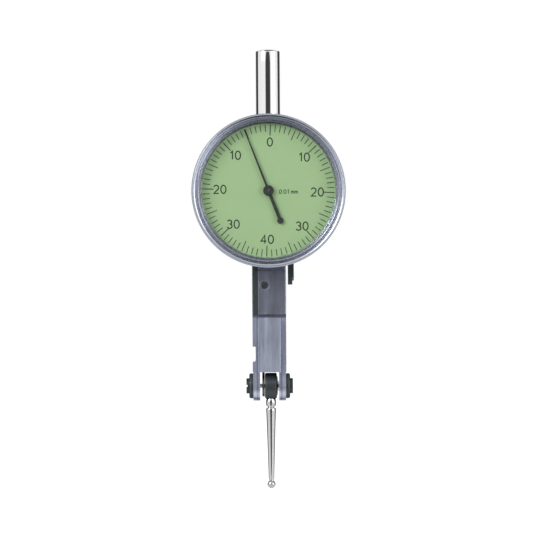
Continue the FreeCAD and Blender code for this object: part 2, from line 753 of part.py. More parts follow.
def make_side_cover():
    body = make_body("side_cover_body")
    plate = sketch_on(body, "YZ_Plane", "cover_plate", -half_width)
    bottom, top, step = above_foot(s.cover_bottom), -s.cover_margin, above_foot(s.seat_bottom)
    outline(
        plate,
        (-s.rail_reach, bottom),
        (s.rail_reach, bottom),
        (s.rail_reach, top),
        (-seat_y, top),
        (-seat_y, step),
        (s.edge_chamfer - s.rail_reach, step),
        (-s.rail_reach, step - s.edge_chamfer),
    )
    slab = pad(body, plate, s.cover_thickness)
    doc.recompute()
    outer_edges = edges_where(slab.Shape, lambda p: abs(p.x + half_width.value) < 1e-4, upright=True)
    bevel(body, slab, outer_edges, s.edge_chamfer)
    for name, radius, depth in (
        ("cover_head_holes", s.cover_screw_head, s.head_height),
        ("cover_shank_holes", s.cover_screw_radius, s.cover_thickness),
    ):
        holes = sketch_on(body, "YZ_Plane", name, -half_width)
        for y, z in cover_screw_spots():
            circle(holes, y, z, radius)
        pocket(body, holes, depth, against=True)
    keep("side_cover", body)
    sizes = (s.cover_screw_head, s.head_height, s.cover_screw_radius, s.cover_screw_length - s.head_height)
    screws = [
        slotted_screw(f"cover_screw_{number}", (s.head_height - half_width, y, z), TO_LEFT, sizes, 25 * number)
        for number, (y, z) in enumerate(cover_screw_spots(), start=1)
    ]
    grouped("cover_screws", screws)


def make_stem():
    radius = s.stem_diameter / 2
    stem = revolved(
        "stem_body",
        [
            (0, -s.spigot_length),
            (s.spigot_diameter / 2, -s.spigot_length),
            (s.spigot_diameter / 2, 0),
            (radius, 0),
            (radius, s.stem_length - s.stem_crown),
            (radius * 0.8, s.stem_length - s.stem_crown / 2),
            (radius / 2, s.stem_length),
            (0, s.stem_length),
        ],
    )
    keep("stem", stem)


def make_stops():
    """The travel stop screw in the front and the rest pin behind the lever's tail."""
    length = s.rail_reach - s.stop_sink - s.stop_reach
    z = above_foot(s.stop_screw_height)
    body = make_body("travel_stop_body", -s.stop_screw_offset, -s.stop_reach, z, *TO_FRONT)
    shank = sketch_on(body, "XY_Plane", "stop_shank")
    circle(shank, 0, 0, s.stop_screw_radius)
    pad(body, shank, length)
    slot = sketch_on(body, "XY_Plane", "stop_slot", length, 35)
    rectangle(slot, -MARGIN, MARGIN, -s.slot_width / 2, s.slot_width / 2)
    pocket(body, slot, s.slot_depth)
    keep("travel_stop_screw", body)
    pin = doc.addObject("Part::Cylinder", "rest_pin_cylinder")
    bind(pin, "Radius", s.rest_pin_radius)
    bind(pin, "Height", right_wall + s.inner_gap * 3 - lever_left)
    pin.Placement = Placement(Vector(lever_left.value, 0, 0), Rotation(Vector(0, 1, 0), 90))
    bind(pin, "Placement.Base.x", lever_left)
    bind(pin, "Placement.Base.y", rest_pin_y())
    bind(pin, "Placement.Base.z", above_foot(s.rest_pin_height))
    keep("rest_pin", pin)


# ---------------------------------------------------------------- pivot, lever, hub and stylus


def make_pivot_screws():
    """A screw and a lock ring on each arm; the screws' bores carry the axle."""
    arm = s.fork_width / 2
    for side, sign, turn, slot_turn in (("left", -1, TO_LEFT, 90), ("right", 1, TO_RIGHT, 25)):
        under_head = (arm + s.collar_thickness) * sign
        sizes = (s.pivot_head_radius, s.pivot_head_height, s.pivot_screw_radius,
                 arm + s.collar_thickness - s.fork_slot / 2)
        screw = slotted_screw(f"{side}_pivot_screw_body", (under_head, 0, pivot_z), turn, sizes, slot_turn,
                              s.pivot_slot_width)
        inner_end = -sizes[3]
        bore_depth = s.axle_reach - s.fork_slot / 2 + s.face_gap
        hole(screw, "XY_Plane", f"{side}_axle_bore", 0, 0, s.axle_radius + s.running_fit, inner_end,
             bore_depth, True)
        keep(f"{side}_pivot_screw", screw)
        collar = make_body(f"{side}_collar_body", arm * sign, 0, pivot_z, *turn)
        ring = sketch_on(collar, "XZ_Plane", f"{side}_collar_profile")
        edge = s.collar_chamfer
        outline(
            ring,
            (s.pivot_screw_radius, 0),
            (s.collar_radius, 0),
            (s.collar_radius, s.collar_thickness - edge),
            (s.collar_radius - edge, s.collar_thickness),
            (s.pivot_screw_radius, s.collar_thickness),
        )
        turned(collar, ring)
        keep(f"{side}_lock_ring", collar)


def make_axle():
    """The axle with the flange that holds the spring washer, turned about X."""
    flange_left = hub_right + s.washer_height + s.running_fit
    body = make_body("pivot_axle_body", 0, 0, pivot_z)
    profile = sketch_on(body, "XZ_Plane", "axle_profile")
    outline(
        profile,
        (-s.axle_reach, 0),
        (s.axle_reach, 0),
        (s.axle_reach, s.axle_radius),
        (flange_left + s.flange_thickness, s.axle_radius),
        (flange_left + s.flange_thickness, s.flange_radius),
        (flange_left, s.flange_radius),
        (flange_left, s.axle_radius),
        (-s.axle_reach, s.axle_radius),
    )
    turned(body, profile, "H_Axis")
    keep("pivot_axle", body)


def make_measuring_lever():
    """The inner lever: an eye on the axle and a long tail with the pin that drives the sector."""
    body = make_body("measuring_lever_body", 0, 0, pivot_z)
    eye = sketch_on(body, "YZ_Plane", "lever_eye", lever_left)
    circle(eye, 0, 0, s.lever_eye_radius)
    pad(body, eye, s.lever_thickness)
    half = s.lever_width / 2
    reach = drive_z - pivot_z
    tail = sketch_on(body, "YZ_Plane", "lever_tail", lever_left)
    outline(tail, (-half, 0), (half, 0), (half, reach, half), (0, reach + half, half), (-half, reach))
    pad(body, tail, s.lever_thickness)
    hole(body, "YZ_Plane", "lever_axle_hole", 0, 0, s.axle_radius, lever_left, s.lever_thickness, True)
    hole(body, "YZ_Plane", "lever_pin_hole", 0, reach, s.drive_pin_radius, lever_left, s.lever_thickness, True)
    keep("measuring_lever", body)
    pin = doc.addObject("Part::Cylinder", "drive_pin_cylinder")
    bind(pin, "Radius", s.drive_pin_radius)
    bind(pin, "Height", s.inner_gap - lever_left - s.sector_left + s.sector_thickness)
    pin.Placement = Placement(Vector(0, 0, 0), Rotation(Vector(0, 1, 0), 90))
    bind(pin, "Placement.Base.x", lever_left)
    bind(pin, "Placement.Base.z", drive_z)
    keep("drive_pin", pin)


def make_washer():
    """A dished spring washer between the hub and the axle's flange, turned about X."""
    body = make_body("spring_washer_body", 0, 0, pivot_z)
    profile = sketch_on(body, "XZ_Plane", "washer_profile")
    inner = s.axle_radius + s.running_fit
    left = hub_right + s.running_fit / 2
    right = left + s.washer_height
    outline(
        profile,
        (right - s.washer_thickness, inner),
        (right, inner),
        (left + s.washer_thickness, s.washer_radius),
        (left, s.washer_radius),
    )
    turned(body, profile, "H_Axis")
    keep("spring_washer", body)


def make_swivel_hub():
    """The black drum that turns on the axle and carries the stylus in a threaded hole."""
    body = make_body("swivel_hub_body", 0, 0, pivot_z)
    profile = sketch_on(body, "XZ_Plane", "hub_profile")
    bore = s.axle_radius + s.running_fit
    edge = s.hub_chamfer
    outline(
        profile,
        (hub_left, bore),
        (hub_right, bore),
        (hub_right, s.hub_radius - edge),
        (hub_right - edge, s.hub_radius),
        (hub_left + edge, s.hub_radius),
        (hub_left, s.hub_radius - edge),
    )
    turned(body, profile, "H_Axis")
    hole(body, "XY_Plane", "stylus_hole", stylus_x(), 0, s.thread_radius, -s.hub_radius + s.thread_length,
         None)
    keep("swivel_hub", body)


def stylus_x():
    """The stylus stands in the middle of the hub's width."""
    return (hub_left + hub_right) / 2


def make_stylus():
    """Boss, neck and tapered shank in one turned piece, with the contact ball on its end."""
    top = -s.hub_radius
    boss_end = top - s.boss_length
    shank_top = boss_end - s.groove_length
    neck_top = -s.stylus_reach + s.ball_radius + s.neck_length
    edge = s.boss_chamfer
    socket = -s.stylus_reach + root(s.ball_radius * s.ball_radius - s.neck_radius * s.neck_radius)
    body = make_body("stylus_body", stylus_x(), 0, pivot_z)
    profile = sketch_on(body, "XZ_Plane", "stylus_profile")
    outline(
        profile,
        (0, top + s.thread_length),
        (0, socket),
        (s.neck_radius, socket),
        (s.neck_radius, neck_top),
        (s.shank_tip_radius, neck_top + s.neck_length / 2),
        (s.shank_radius, shank_top - s.shank_shoulder),
        (s.shank_radius - s.shank_shoulder, shank_top),
        (s.groove_radius, shank_top),
        (s.groove_radius, boss_end),
        (s.boss_radius - edge, boss_end),
        (s.boss_radius, boss_end + edge),
        (s.boss_radius, top - edge),
        (s.boss_radius - edge, top),
        (s.thread_radius, top),
        (s.thread_radius, top + s.thread_length),
    )
    turned(body, profile)
    keep("stylus", body)
    sphere = doc.addObject("Part::Sphere", "ball_sphere")
    bind(sphere, "Radius", s.ball_radius)
    flat = doc.addObject("Part::Cylinder", "ball_flat")
    bind(flat, "Radius", s.ball_radius)
    bind(flat, "Height", s.ball_radius)
    bind(flat, "Placement.Base.z", root(s.ball_radius * s.ball_radius - s.neck_radius * s.neck_radius))
    ball = doc.addObject("Part::Cut", "contact_ball_cut")
    ball.Base = sphere
    ball.Tool = flat
    bind(ball, "Placement.Base.x", stylus_x())
    bind(ball, "Placement.Base.z", pivot_z - s.stylus_reach)
    keep("contact_ball", ball)


# ---------------------------------------------------------------- gear train


def tooth(body, plane, name, radius, lift, width, turn):
    """One straight-flanked tooth, drawn along the plane's second axis and turned to its place."""
    pitch = s.gear_module * math.pi
    middle = pitch * s.tooth_share / 2
    tip, foot = middle * 0.45, middle * 1.35
    sketch = sketch_on(body, plane, name, lift, turn)
    outline(
        sketch,
        (-foot, radius - dedendum - EMBED),
        (foot, radius - dedendum - EMBED),
        (tip, radius + addendum),
        (-tip, radius + addendum),
    )
    return pad(body, sketch, width)


def make_crown():
    """The crown wheel on its arbor, whose pinion the sector drives."""
    wheel_left = pinion_radius + dedendum
    rim = crown_radius + s.crown_face / 2 + s.crown_rim
    body = make_body("crown_wheel_body", 0, 0, dial_z)
    disc = sketch_on(body, "YZ_Plane", "crown_disc", wheel_left)
    circle(disc, 0, 0, rim)
    circle(disc, 0, 0, s.arbor_radius)
    pad(body, disc, s.crown_thickness)
    hub, web = s.arbor_radius * 4, crown_radius - s.crown_face
    window = sketch_on(body, "YZ_Plane", "crown_window", wheel_left)
    outline(window, (-hub * 0.4, hub), (hub * 0.4, hub), (web * 0.45, web * 0.9), (-web * 0.45, web * 0.9))
    polar(body, [pocket(body, window, s.crown_thickness, against=True)], "X_Axis", 4)
    half_root = s.gear_module * math.pi * s.tooth_share * 0.62
    teeth = sketch_on(body, "XZ_Plane", "crown_tooth", crown_radius - s.crown_face / 2)
    outline(
        teeth,
        (pinion_radius - addendum, -half_root * 0.4),
        (wheel_left + EMBED, -half_root),
        (wheel_left + EMBED, half_root),
        (pinion_radius - addendum, half_root * 0.4),
    )
    polar(body, [pad(body, teeth, s.crown_face)], "X_Axis", s.crown_teeth)
    keep("crown_wheel", body)
    arbor = make_body("crown_arbor_body", 0, 0, dial_z)
    journal_left, journal_right = cover_face, right_wall + s.bearing_length
    arbor_profile(arbor, "crown_arbor_profile", journal_left, journal_right)
    core = sketch_on(arbor, "YZ_Plane", "crown_pinion_core", -s.sector_left - s.inner_gap)
    circle(core, 0, 0, pinion_radius - dedendum)
    pad(arbor, core, s.pinion_width)
    first = tooth(arbor, "YZ_Plane", "crown_pinion_tooth", pinion_radius, -s.sector_left - s.inner_gap,
                  s.pinion_width, 180 - 180 / s.pinion_teeth)
    polar(arbor, [first], "X_Axis", s.pinion_teeth)
    keep("crown_arbor", arbor)


def arbor_profile(body, name, left, right):
    """An arbor along X: a thin journal in each bush and a thicker middle with a little end play."""
    profile = sketch_on(body, "XZ_Plane", name)
    inner_left = left + s.bearing_length + s.face_gap
    inner_right = right - s.bearing_length - s.face_gap
    outline(
        profile,
        (left, 0),
        (right, 0),
        (right, s.journal_radius),
        (inner_right, s.journal_radius),
        (inner_right, s.arbor_radius),
        (inner_left, s.arbor_radius),
        (inner_left, s.journal_radius),
        (left, s.journal_radius),
    )
    turned(body, profile, "H_Axis")


def make_sector():
    """The sector: a forked lower arm round the drive pin and a toothed head on the upper arm."""
    pitch_angle = 360 / s.sector_circle
    low, high = pitch_angle * -2.6, pitch_angle * 5.6
    root_radius = sector_radius - dedendum
    head_radius = root_radius - s.sector_thickness * 2
    body = make_body("sector_gear_body", 0, 0, sector_z)
    face = -s.sector_left
    hub = sketch_on(body, "YZ_Plane", "sector_hub", face)
    circle(hub, 0, 0, s.arbor_radius * 4)
    pad(body, hub, s.sector_thickness)
    upper = sketch_on(body, "YZ_Plane", "sector_upper_arm", face)
    half = s.lever_width / 2
    top = head_radius + EMBED
    outline(upper, (-half, 0), (half, 0), (half * 0.7, top), (-half * 1.6, top))
    pad(body, upper, s.sector_thickness)
    head = sketch_on(body, "YZ_Plane", "sector_head", face)
    outline(
        head,
        (-head_radius * sine(low), head_radius * cosine(low), head_radius),
        (-head_radius * sine(high), head_radius * cosine(high)),
        (-root_radius * sine(high), root_radius * cosine(high), -root_radius),
        (-root_radius * sine(low), root_radius * cosine(low)),
    )
    pad(body, head, s.sector_thickness)
    lower = sketch_on(body, "YZ_Plane", "sector_lower_arm", face)
    arm_end = -s.sector_arm - s.drive_pin_radius * 2
    rectangle(lower, -s.drive_pin_radius * 2.6, s.drive_pin_radius * 2.6, arm_end, 0)
    pad(body, lower, s.sector_thickness)
    fork = sketch_on(body, "YZ_Plane", "sector_fork", face)
    opening = s.drive_pin_radius + s.running_fit * 1.5
    rectangle(fork, -opening, opening, arm_end - MARGIN, -s.sector_arm + s.drive_pin_radius * 2)
    pocket(body, fork, s.sector_thickness, against=True)
    hole(body, "YZ_Plane", "sector_bore", 0, 0, s.arbor_radius, face, s.sector_thickness, True)
    first = tooth(body, "YZ_Plane", "sector_tooth", sector_radius, face, s.sector_thickness, pitch_angle * -2)
    polar(body, [first], "X_Axis", 8, pitch_angle * 7)
    keep("sector_gear", body)
    arbor = make_body("sector_arbor_body", 0, 0, sector_z)
    arbor_profile(arbor, "sector_arbor_profile", cover_face, right_wall + s.bearing_length)
    keep("sector_arbor", arbor)


def make_bridge():
    """The bridge that carries the left bushes, with its screws."""
    body = make_body("works_bridge_body")
    plate = sketch_on(body, "YZ_Plane", "bridge_plate", cover_face)
    bottom = above_foot(s.bridge_bottom)
    rectangle(plate, -s.bridge_half_depth, s.bridge_half_depth, bottom, bottom + s.bridge_height)
    pad(body, plate, s.bridge_thickness)
    bores = sketch_on(body, "YZ_Plane", "bridge_bores", cover_face)
    for z in (dial_z, sector_z):
        circle(bores, 0, z, s.bearing_radius)
    for y, z in bridge_screw_spots():
        circle(bores, y, z, s.bridge_screw_radius)
    pocket(body, bores, s.bridge_thickness, against=True)
    keep("works_bridge", body)
    pins = []
    for number, (y, z) in enumerate(bridge_screw_spots(), start=1):
        screw = make_body(f"bridge_screw_{number}", cover_face, y, z, *TO_RIGHT)
        shank = sketch_on(screw, "XY_Plane", f"bridge_screw_shank_{number}")
        circle(shank, 0, 0, s.bridge_screw_radius)
        pad(screw, shank, s.bridge_thickness * 3)
        pins.append(screw)
    grouped("bridge_screws", pins)
    for name, z in (("crown_bushes", dial_z), ("sector_bushes", sector_z)):
        left = bush(f"{name}_left", (cover_face, 0, z), TO_RIGHT)
        right = bush(f"{name}_right", (right_wall, 0, z), TO_RIGHT)
        grouped(name, [left, right])


# ---------------------------------------------------------------- pointer and its arbor


def make_pointer_arbor():
    """The pointer's arbor and its pinion, in the crown wheel's teeth."""
    pinion_middle = crown_radius - seat_y
    half_face = s.crown_face / 2 + s.inner_gap / 2
    back = pinion_middle - half_face - s.inner_gap - s.cock_thickness
    front = s.dial_height + s.pointer_height + s.pointer_hub_height
    shoulder_height = pinion_middle - half_face - s.face_gap * 2
    body = dial_body("pointer_arbor_body")
    profile = sketch_on(body, "XZ_Plane", "pointer_arbor_profile")
    outline(
        profile,
        (0, back),
        (s.journal_radius, back),
        (s.journal_radius, shoulder_height),
        (s.arbor_radius, shoulder_height),
        (s.arbor_radius, front),
        (0, front),
    )
    turned(body, profile)
    core = sketch_on(body, "XY_Plane", "centre_pinion_core", pinion_middle - half_face)
    circle(core, 0, 0, pinion_radius - dedendum)
    pad(body, core, half_face * 2)
    first = tooth(body, "XY_Plane", "centre_pinion_tooth", pinion_radius, pinion_middle - half_face,
                  half_face * 2, 180 / s.pinion_teeth - 90)
    polar(body, [first], "Z_Axis", s.pinion_teeth)
    keep("pointer_arbor", body)
    cock_front = pinion_middle - half_face - s.inner_gap
    make_cock(cock_front)


def make_cock(front):
    """The cock that carries the arbor's rear end, screwed to the front wall of the chamber."""
    chamber_top = above_foot(s.cavity_floor) + s.cavity_height - dial_z
    wall = s.cavity_half_depth - seat_y
    body = dial_body("rear_cock_body")
    plate = sketch_on(body, "XY_Plane", "cock_plate", front - s.cock_thickness)
    left = -s.cock_width * 0.75
    right = left + s.cock_width
    rectangle(plate, left, right, 0, chamber_top)
    pad(body, plate, s.cock_thickness)
    eye = sketch_on(body, "XY_Plane", "cock_eye", front - s.cock_thickness)
    circle(eye, 0, 0, s.cock_width / 2)
    pad(body, eye, s.cock_thickness)
    foot = sketch_on(body, "XY_Plane", "cock_foot", front - s.cock_thickness)
    rectangle(foot, left, right, chamber_top - s.cock_width, chamber_top)
    pad(body, foot, wall - front + s.cock_thickness)
    hole(body, "XY_Plane", "cock_bore", 0, 0, s.journal_radius + s.running_fit, front, s.cock_thickness)
    keep("rear_cock", body)


def make_front_bush():
    """The bush in the case's back plate that carries the arbor behind the dial."""
    body = dial_body("front_bush_body")
    ring = sketch_on(body, "XY_Plane", "front_bush_ring")
    circle(ring, 0, 0, s.bearing_radius * 1.5)
    circle(ring, 0, 0, s.arbor_radius + s.running_fit)
    pad(body, ring, s.case_back)
    keep("front_bush", body)


def make_pointer():
    """The needle with its tail disc, and its hub; both sit on the arbor."""
    plane = s.dial_height + s.pointer_height
    body = make_body("pointer_body", 0, -seat_y - plane, dial_z, Vector(1, 0, 0), 90)
    tip, waist = s.pointer_tip_width / 2, s.pointer_root_width / 2
    pointer_reach = aperture_radius - s.pointer_gap
    needle = sketch_on(body, "XY_Plane", "needle", 0, s.pointer_rest)
    outline(needle, (-waist, 0), (waist, 0), (tip, pointer_reach), (-tip, pointer_reach))
    pad(body, needle, s.pointer_thickness)
    tail = sketch_on(body, "XY_Plane", "pointer_tail_bar", 0, s.pointer_rest)
    half = s.pointer_tail_width / 2
    rectangle(tail, -half, half, -s.pointer_tail, 0)
    pad(body, tail, s.pointer_thickness)
    disc = sketch_on(body, "XY_Plane", "pointer_disc", 0, s.pointer_rest)
    circle(disc, 0, -s.pointer_tail, s.pointer_disc_radius)
    pad(body, disc, s.pointer_thickness)
    eye = sketch_on(body, "XY_Plane", "pointer_eye")
    circle(eye, 0, 0, (s.pointer_hub_radius + s.arbor_radius) / 2)
    pad(body, eye, s.pointer_thickness)
    hub_bore = (s.pointer_hub_radius + s.arbor_radius) / 2 - s.arbor_radius / 2
    hole(body, "XY_Plane", "pointer_bore", 0, 0, hub_bore, s.pointer_thickness, s.pointer_thickness)
    keep("pointer", body)
    low = plane - s.pointer_height / 2
    seat = plane + s.pointer_thickness
    top = low + s.pointer_hub_height + s.pointer_height / 4
    hub = dial_body("pointer_hub_body")
    profile = sketch_on(hub, "XZ_Plane", "pointer_hub_profile")
    edge = s.pointer_thickness
    outline(
        profile,
        (s.arbor_radius, low),
        (hub_bore, low),
        (hub_bore, seat),
        (s.pointer_hub_radius, seat),
        (s.pointer_hub_radius, top - edge),
        (s.pointer_hub_radius - edge, top),
        (s.arbor_radius, top),
    )
    turned(hub, profile)
    keep("pointer_hub", hub)


def make_hairspring():
    """The hairspring between the collet on the arbor and its stud on the case."""
    collet = dial_body("collet_body")
    ring = sketch_on(collet, "XY_Plane", "collet_ring", s.hairspring_height - s.hairspring_width)
    circle(ring, 0, 0, s.collet_radius)
    circle(ring, 0, 0, s.arbor_radius)
    pad(collet, ring, s.hairspring_width * 3)
    keep("hairspring_collet", collet)
    inner = s.collet_radius.value + s.running_fit.value
    pitch, sheet = s.hairspring_pitch.value, s.hairspring_thickness.value
    half_turns = int(2 * s.hairspring_turns.value)
    edges = []
    for start, backwards in ((inner, False), (inner + sheet, True)):
        rail = []
        radius, centre = start, 0.0
        for number in range(half_turns):
            sign = 1 if number % 2 == 0 else -1
            grown = radius + pitch / 4
            centre_x = centre + sign * (radius - grown)
            top = Vector(centre_x, grown * sign, 0)
            first = Vector(centre_x + grown * sign, 0, 0)
            last = Vector(centre_x - grown * sign, 0, 0)
            rail.append(Part.Arc(first, top, last).toShape())
            radius, centre = grown, centre_x
        edges.append((rail, backwards))
    inside, outside = edges[0][0], edges[1][0]
    start_cap = Part.makeLine(inside[0].Vertexes[0].Point, outside[0].Vertexes[0].Point)
    end_cap = Part.makeLine(inside[-1].Vertexes[-1].Point, outside[-1].Vertexes[-1].Point)
    strip = Part.Face(Part.Wire(Part.__sortEdges__([*inside, end_cap, *outside, start_cap])))
    spring = doc.addObject("Part::Feature", "hairspring_strip")
    spring.Shape = strip.extrude(Vector(0, 0, s.hairspring_width.value))
    level = -(seat_y + s.hairspring_height).value
    spring.Placement = Placement(Vector(0, level, dial_z.value), Rotation(Vector(1, 0, 0), 90))
    keep("hairspring", spring)
    end = outside[-1].Vertexes[-1].Point
    stud = dial_body("hairspring_stud_body")
    post = sketch_on(stud, "XY_Plane", "stud_post", s.case_back)
    stud_radius = s.hairspring_width
    circle(post, as_size(end.x) + stud_radius * (1 if end.x > 0 else -1), end.y, stud_radius)
    pad(stud, post, s.hairspring_height + s.hairspring_width * 2 - s.case_back)
    keep("hairspring_stud", stud)


# ---------------------------------------------------------------- case, bezel and dial


def make_case():
    """The dial case: back plate, flange behind the bezel and a wall with the spring ring's groove."""
    wall_in = s.case_radius - s.case_wall
    groove = s.case_radius - s.ring_groove
    flange_radius = bezel_radius - s.flange_inset
    low, high = s.ring_height - s.face_gap, s.ring_height + s.ring_thickness + s.face_gap
    body = dial_body("dial_case_body")
    profile = sketch_on(body, "XZ_Plane", "case_profile")
    outline(
        profile,
        (s.bearing_radius * 1.5, 0),
        (flange_radius, 0),
        (flange_radius, s.case_flange),
        (s.case_radius, s.case_flange),
        (s.case_radius, low),
        (groove, low),
        (groove, high),
        (s.case_radius, high),
        (s.case_radius, s.case_depth),
        (wall_in, s.case_depth),
        (wall_in, s.case_back),
        (s.bearing_radius * 1.5, s.case_back),
    )
    turned(body, profile)
    screws = sketch_on(body, "XY_Plane", "case_clearance_holes")
    for x, z in case_screw_spots():
        circle(screws, x, z, s.case_screw_radius)
    pocket(body, screws, s.case_back, against=True)
    keep("dial_case", body)
    sizes = (s.case_screw_head, s.head_height, s.case_screw_radius, s.case_screw_length)
    grouped("case_screws", [
        slotted_screw(f"case_screw_{number}", (x, -seat_y - s.case_back, dial_z + z), TO_FRONT, sizes, 40 * number)
        for number, (x, z) in enumerate(case_screw_spots(), start=1)
    ])
    inner = (groove + s.running_fit) / cosine(180 / s.ring_sides)
    polygon_ring("bezel_spring_ring", s.case_radius + s.ring_stand, inner, s.ring_thickness, s.ring_height)


def make_bezel():
    """The knurled bezel, turned in one piece and notched all round."""
    skirt = s.case_radius + s.bezel_fit
    edge = s.bezel_chamfer
    shelf = s.dial_height - s.dial_thickness - s.retainer_thickness
    body = dial_body("bezel_body")
    profile = sketch_on(body, "XZ_Plane", "bezel_profile")
    outline(
        profile,
        (skirt, bezel_back),
        (bezel_radius - edge, bezel_back),
        (bezel_radius, bezel_back + edge),
        (bezel_radius, s.bezel_front - edge),
        (bezel_radius - edge, s.bezel_front),
        (bezel_radius - s.bezel_band, s.bezel_front),
        (crystal_radius, crystal_front + s.bezel_lip),
        (crystal_radius, crystal_back),
        (aperture_radius, crystal_back),
        (aperture_radius, s.dial_height),
        (crystal_radius, s.dial_height),
        (crystal_radius, shelf),
        (skirt, shelf),
    )
    turned(body, profile)
    low = bezel_back + s.knurl_land
    notch = sketch_on(body, "XY_Plane", "knurl_notch", low)
    half = s.knurl_depth * 1.1
    outline(
        notch,
        (-half, bezel_radius + EMBED),
        (0, bezel_radius - s.knurl_depth),
        (half, bezel_radius + EMBED),
    )
    cut = pocket(body, notch, s.bezel_front - s.knurl_land - low, against=True)
    polar(body, [cut], "Z_Axis", s.knurl_count)
    keep("bezel", body)


def make_dial_and_glass():
    """What the bezel carries: dial plate, the ring that holds it, and the crystal in front."""
    dial_back = s.dial_height - s.dial_thickness
    body = dial_body("dial_plate_body")
    disc = sketch_on(body, "XY_Plane", "dial_disc", dial_back)
    circle(disc, 0, 0, crystal_radius)
    circle(disc, 0, 0, s.dial_hole_radius)
    pad(body, disc, s.dial_thickness)
    keep("dial_plate", body)
    rim = aperture_radius - s.bezel_gap
    polygon_ring("dial_retainer", crystal_radius, rim, s.retainer_thickness, dial_back - s.retainer_thickness)
    glass = dial_body("crystal_body")
    profile = sketch_on(glass, "XZ_Plane", "crystal_profile")
    outline(
        profile,
        (0, crystal_back),
        (crystal_radius, crystal_back),
        (crystal_radius, crystal_front),
        (rim, crystal_front),
        (rim - s.crystal_dome, crystal_front + s.crystal_dome),
        (0, crystal_front + s.crystal_dome),
    )
    turned(glass, profile)
    keep("crystal", glass)


# ---------------------------------------------------------------- direction changeover


def make_changeover():
    """The lever on the right side, its shaft with an eccentric pin, and the screw that joins them."""
    height = above_foot(s.changeover_height)
    inner = s.changeover_gap
    body = make_body("changeover_lever_body", half_width, 0, height)
    outer = inner + s.changeover_thickness
    length = s.changeover_length
    eye = sketch_on(body, "YZ_Plane", "changeover_eye_disc", inner, -s.changeover_rest)
    circle(eye, 0, 0, s.changeover_eye)
    pad(body, eye, s.changeover_thickness)
    blade = sketch_on(body, "YZ_Plane", "changeover_blade", inner, -s.changeover_rest)
    tip = s.changeover_tip
    outline(
        blade,
        (s.changeover_eye, 0),
        (-s.changeover_eye, 0),
        (-tip, -length, tip),
        (0, -length - tip, tip),
        (tip, -length),
    )
    pad(body, blade, s.changeover_thickness)
    finger = sketch_on(body, "YZ_Plane", "changeover_finger", outer, -s.changeover_rest)
    rectangle(finger, -tip - MARGIN, tip + MARGIN, -length - tip - MARGIN, -length)
    pocket(body, finger, s.changeover_thickness / 4)
    hole(body, "YZ_Plane", "changeover_lever_bore", 0, 0, s.changeover_shaft * 0.6, inner,
         s.changeover_thickness, True)
    keep("changeover_lever", body)
    shaft = make_body("changeover_shaft_body", 0, 0, height)
    profile = sketch_on(shaft, "XZ_Plane", "changeover_shaft_profile")
    flange_right = right_wall - s.face_gap
    flange_left = flange_right - s.head_height
    lever_face = half_width + inner
    outline(
        profile,
        (flange_left, 0),
        (lever_face, 0),
        (lever_face, s.changeover_shaft),
        (flange_right, s.changeover_shaft),
        (flange_right, s.changeover_shaft * 1.6),
        (flange_left, s.changeover_shaft * 1.6),
    )
    turned(shaft, profile, "H_Axis")
    pin = sketch_on(shaft, "YZ_Plane", "eccentric_pin", flange_left)
    circle(pin, 0, -s.changeover_shaft, s.drive_pin_radius)
    pad(shaft, pin, s.inner_gap * 3, against=True)
    keep("changeover_shaft", shaft)
    sizes = (s.changeover_shaft * 1.5, s.head_height, s.changeover_shaft * 0.6, s.changeover_thickness)
    screw = slotted_screw("changeover_screw_body", (half_width + outer, 0, height), TO_RIGHT, sizes, 60)
    keep("changeover_screw", screw)


# ---------------------------------------------------------------- checks and files


def check_document():
    """Stops at a failed object, an empty or broken shape, or a cut that removed nothing."""
    for item in doc.Objects:
        if "Invalid" in item.State or "Error" in item.State:
            raise RuntimeError(f"{item.Name} failed: {item.State}")
        if item.TypeId in ("PartDesign::Pocket", "PartDesign::Groove"):
            if item.Shape.Volume >= item.BaseFeature.Shape.Volume - 1e-6:
                raise RuntimeError(f"{item.Name} removes nothing")
    for name, thing in nodes:
        if thing.Shape.isNull() or not thing.Shape.isValid() or not thing.Shape.Solids:
            raise RuntimeError(f"{name} has no sound solid")


make_frame()
make_side_cover()
make_stem()
make_stops()
make_pivot_screws()
make_axle()
make_measuring_lever()
make_washer()
make_swivel_hub()
make_stylus()
make_crown()
make_sector()
make_bridge()
make_pointer_arbor()
make_front_bush()
make_pointer()
make_hairspring()
make_case()
make_bezel()
make_dial_and_glass()
make_changeover()

doc.recompute()
check_document()
os.makedirs("parts", exist_ok=True)
for node, piece in nodes:
    piece.Shape.exportStep(f"parts/{node}.step")
    print(f"{node}: {len(piece.Shape.Solids)} solid(s), {piece.Shape.Volume:.3f} mm3")
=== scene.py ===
# %% [markdown]
# A dial test indicator is a small lever gauge. A ball on a thin arm feels a surface, and gears turn
# its tiny swing into a pointer's sweep. The metal parts come ready made as a frame of exact solids.
# Here they get their finishes, and the pieces whose look hangs on fine form are made again as
# smooth surfaces: the turned rings, the glass, the stem, the arm and the print on the dial.
# %% Load the exact parts
import json
import math

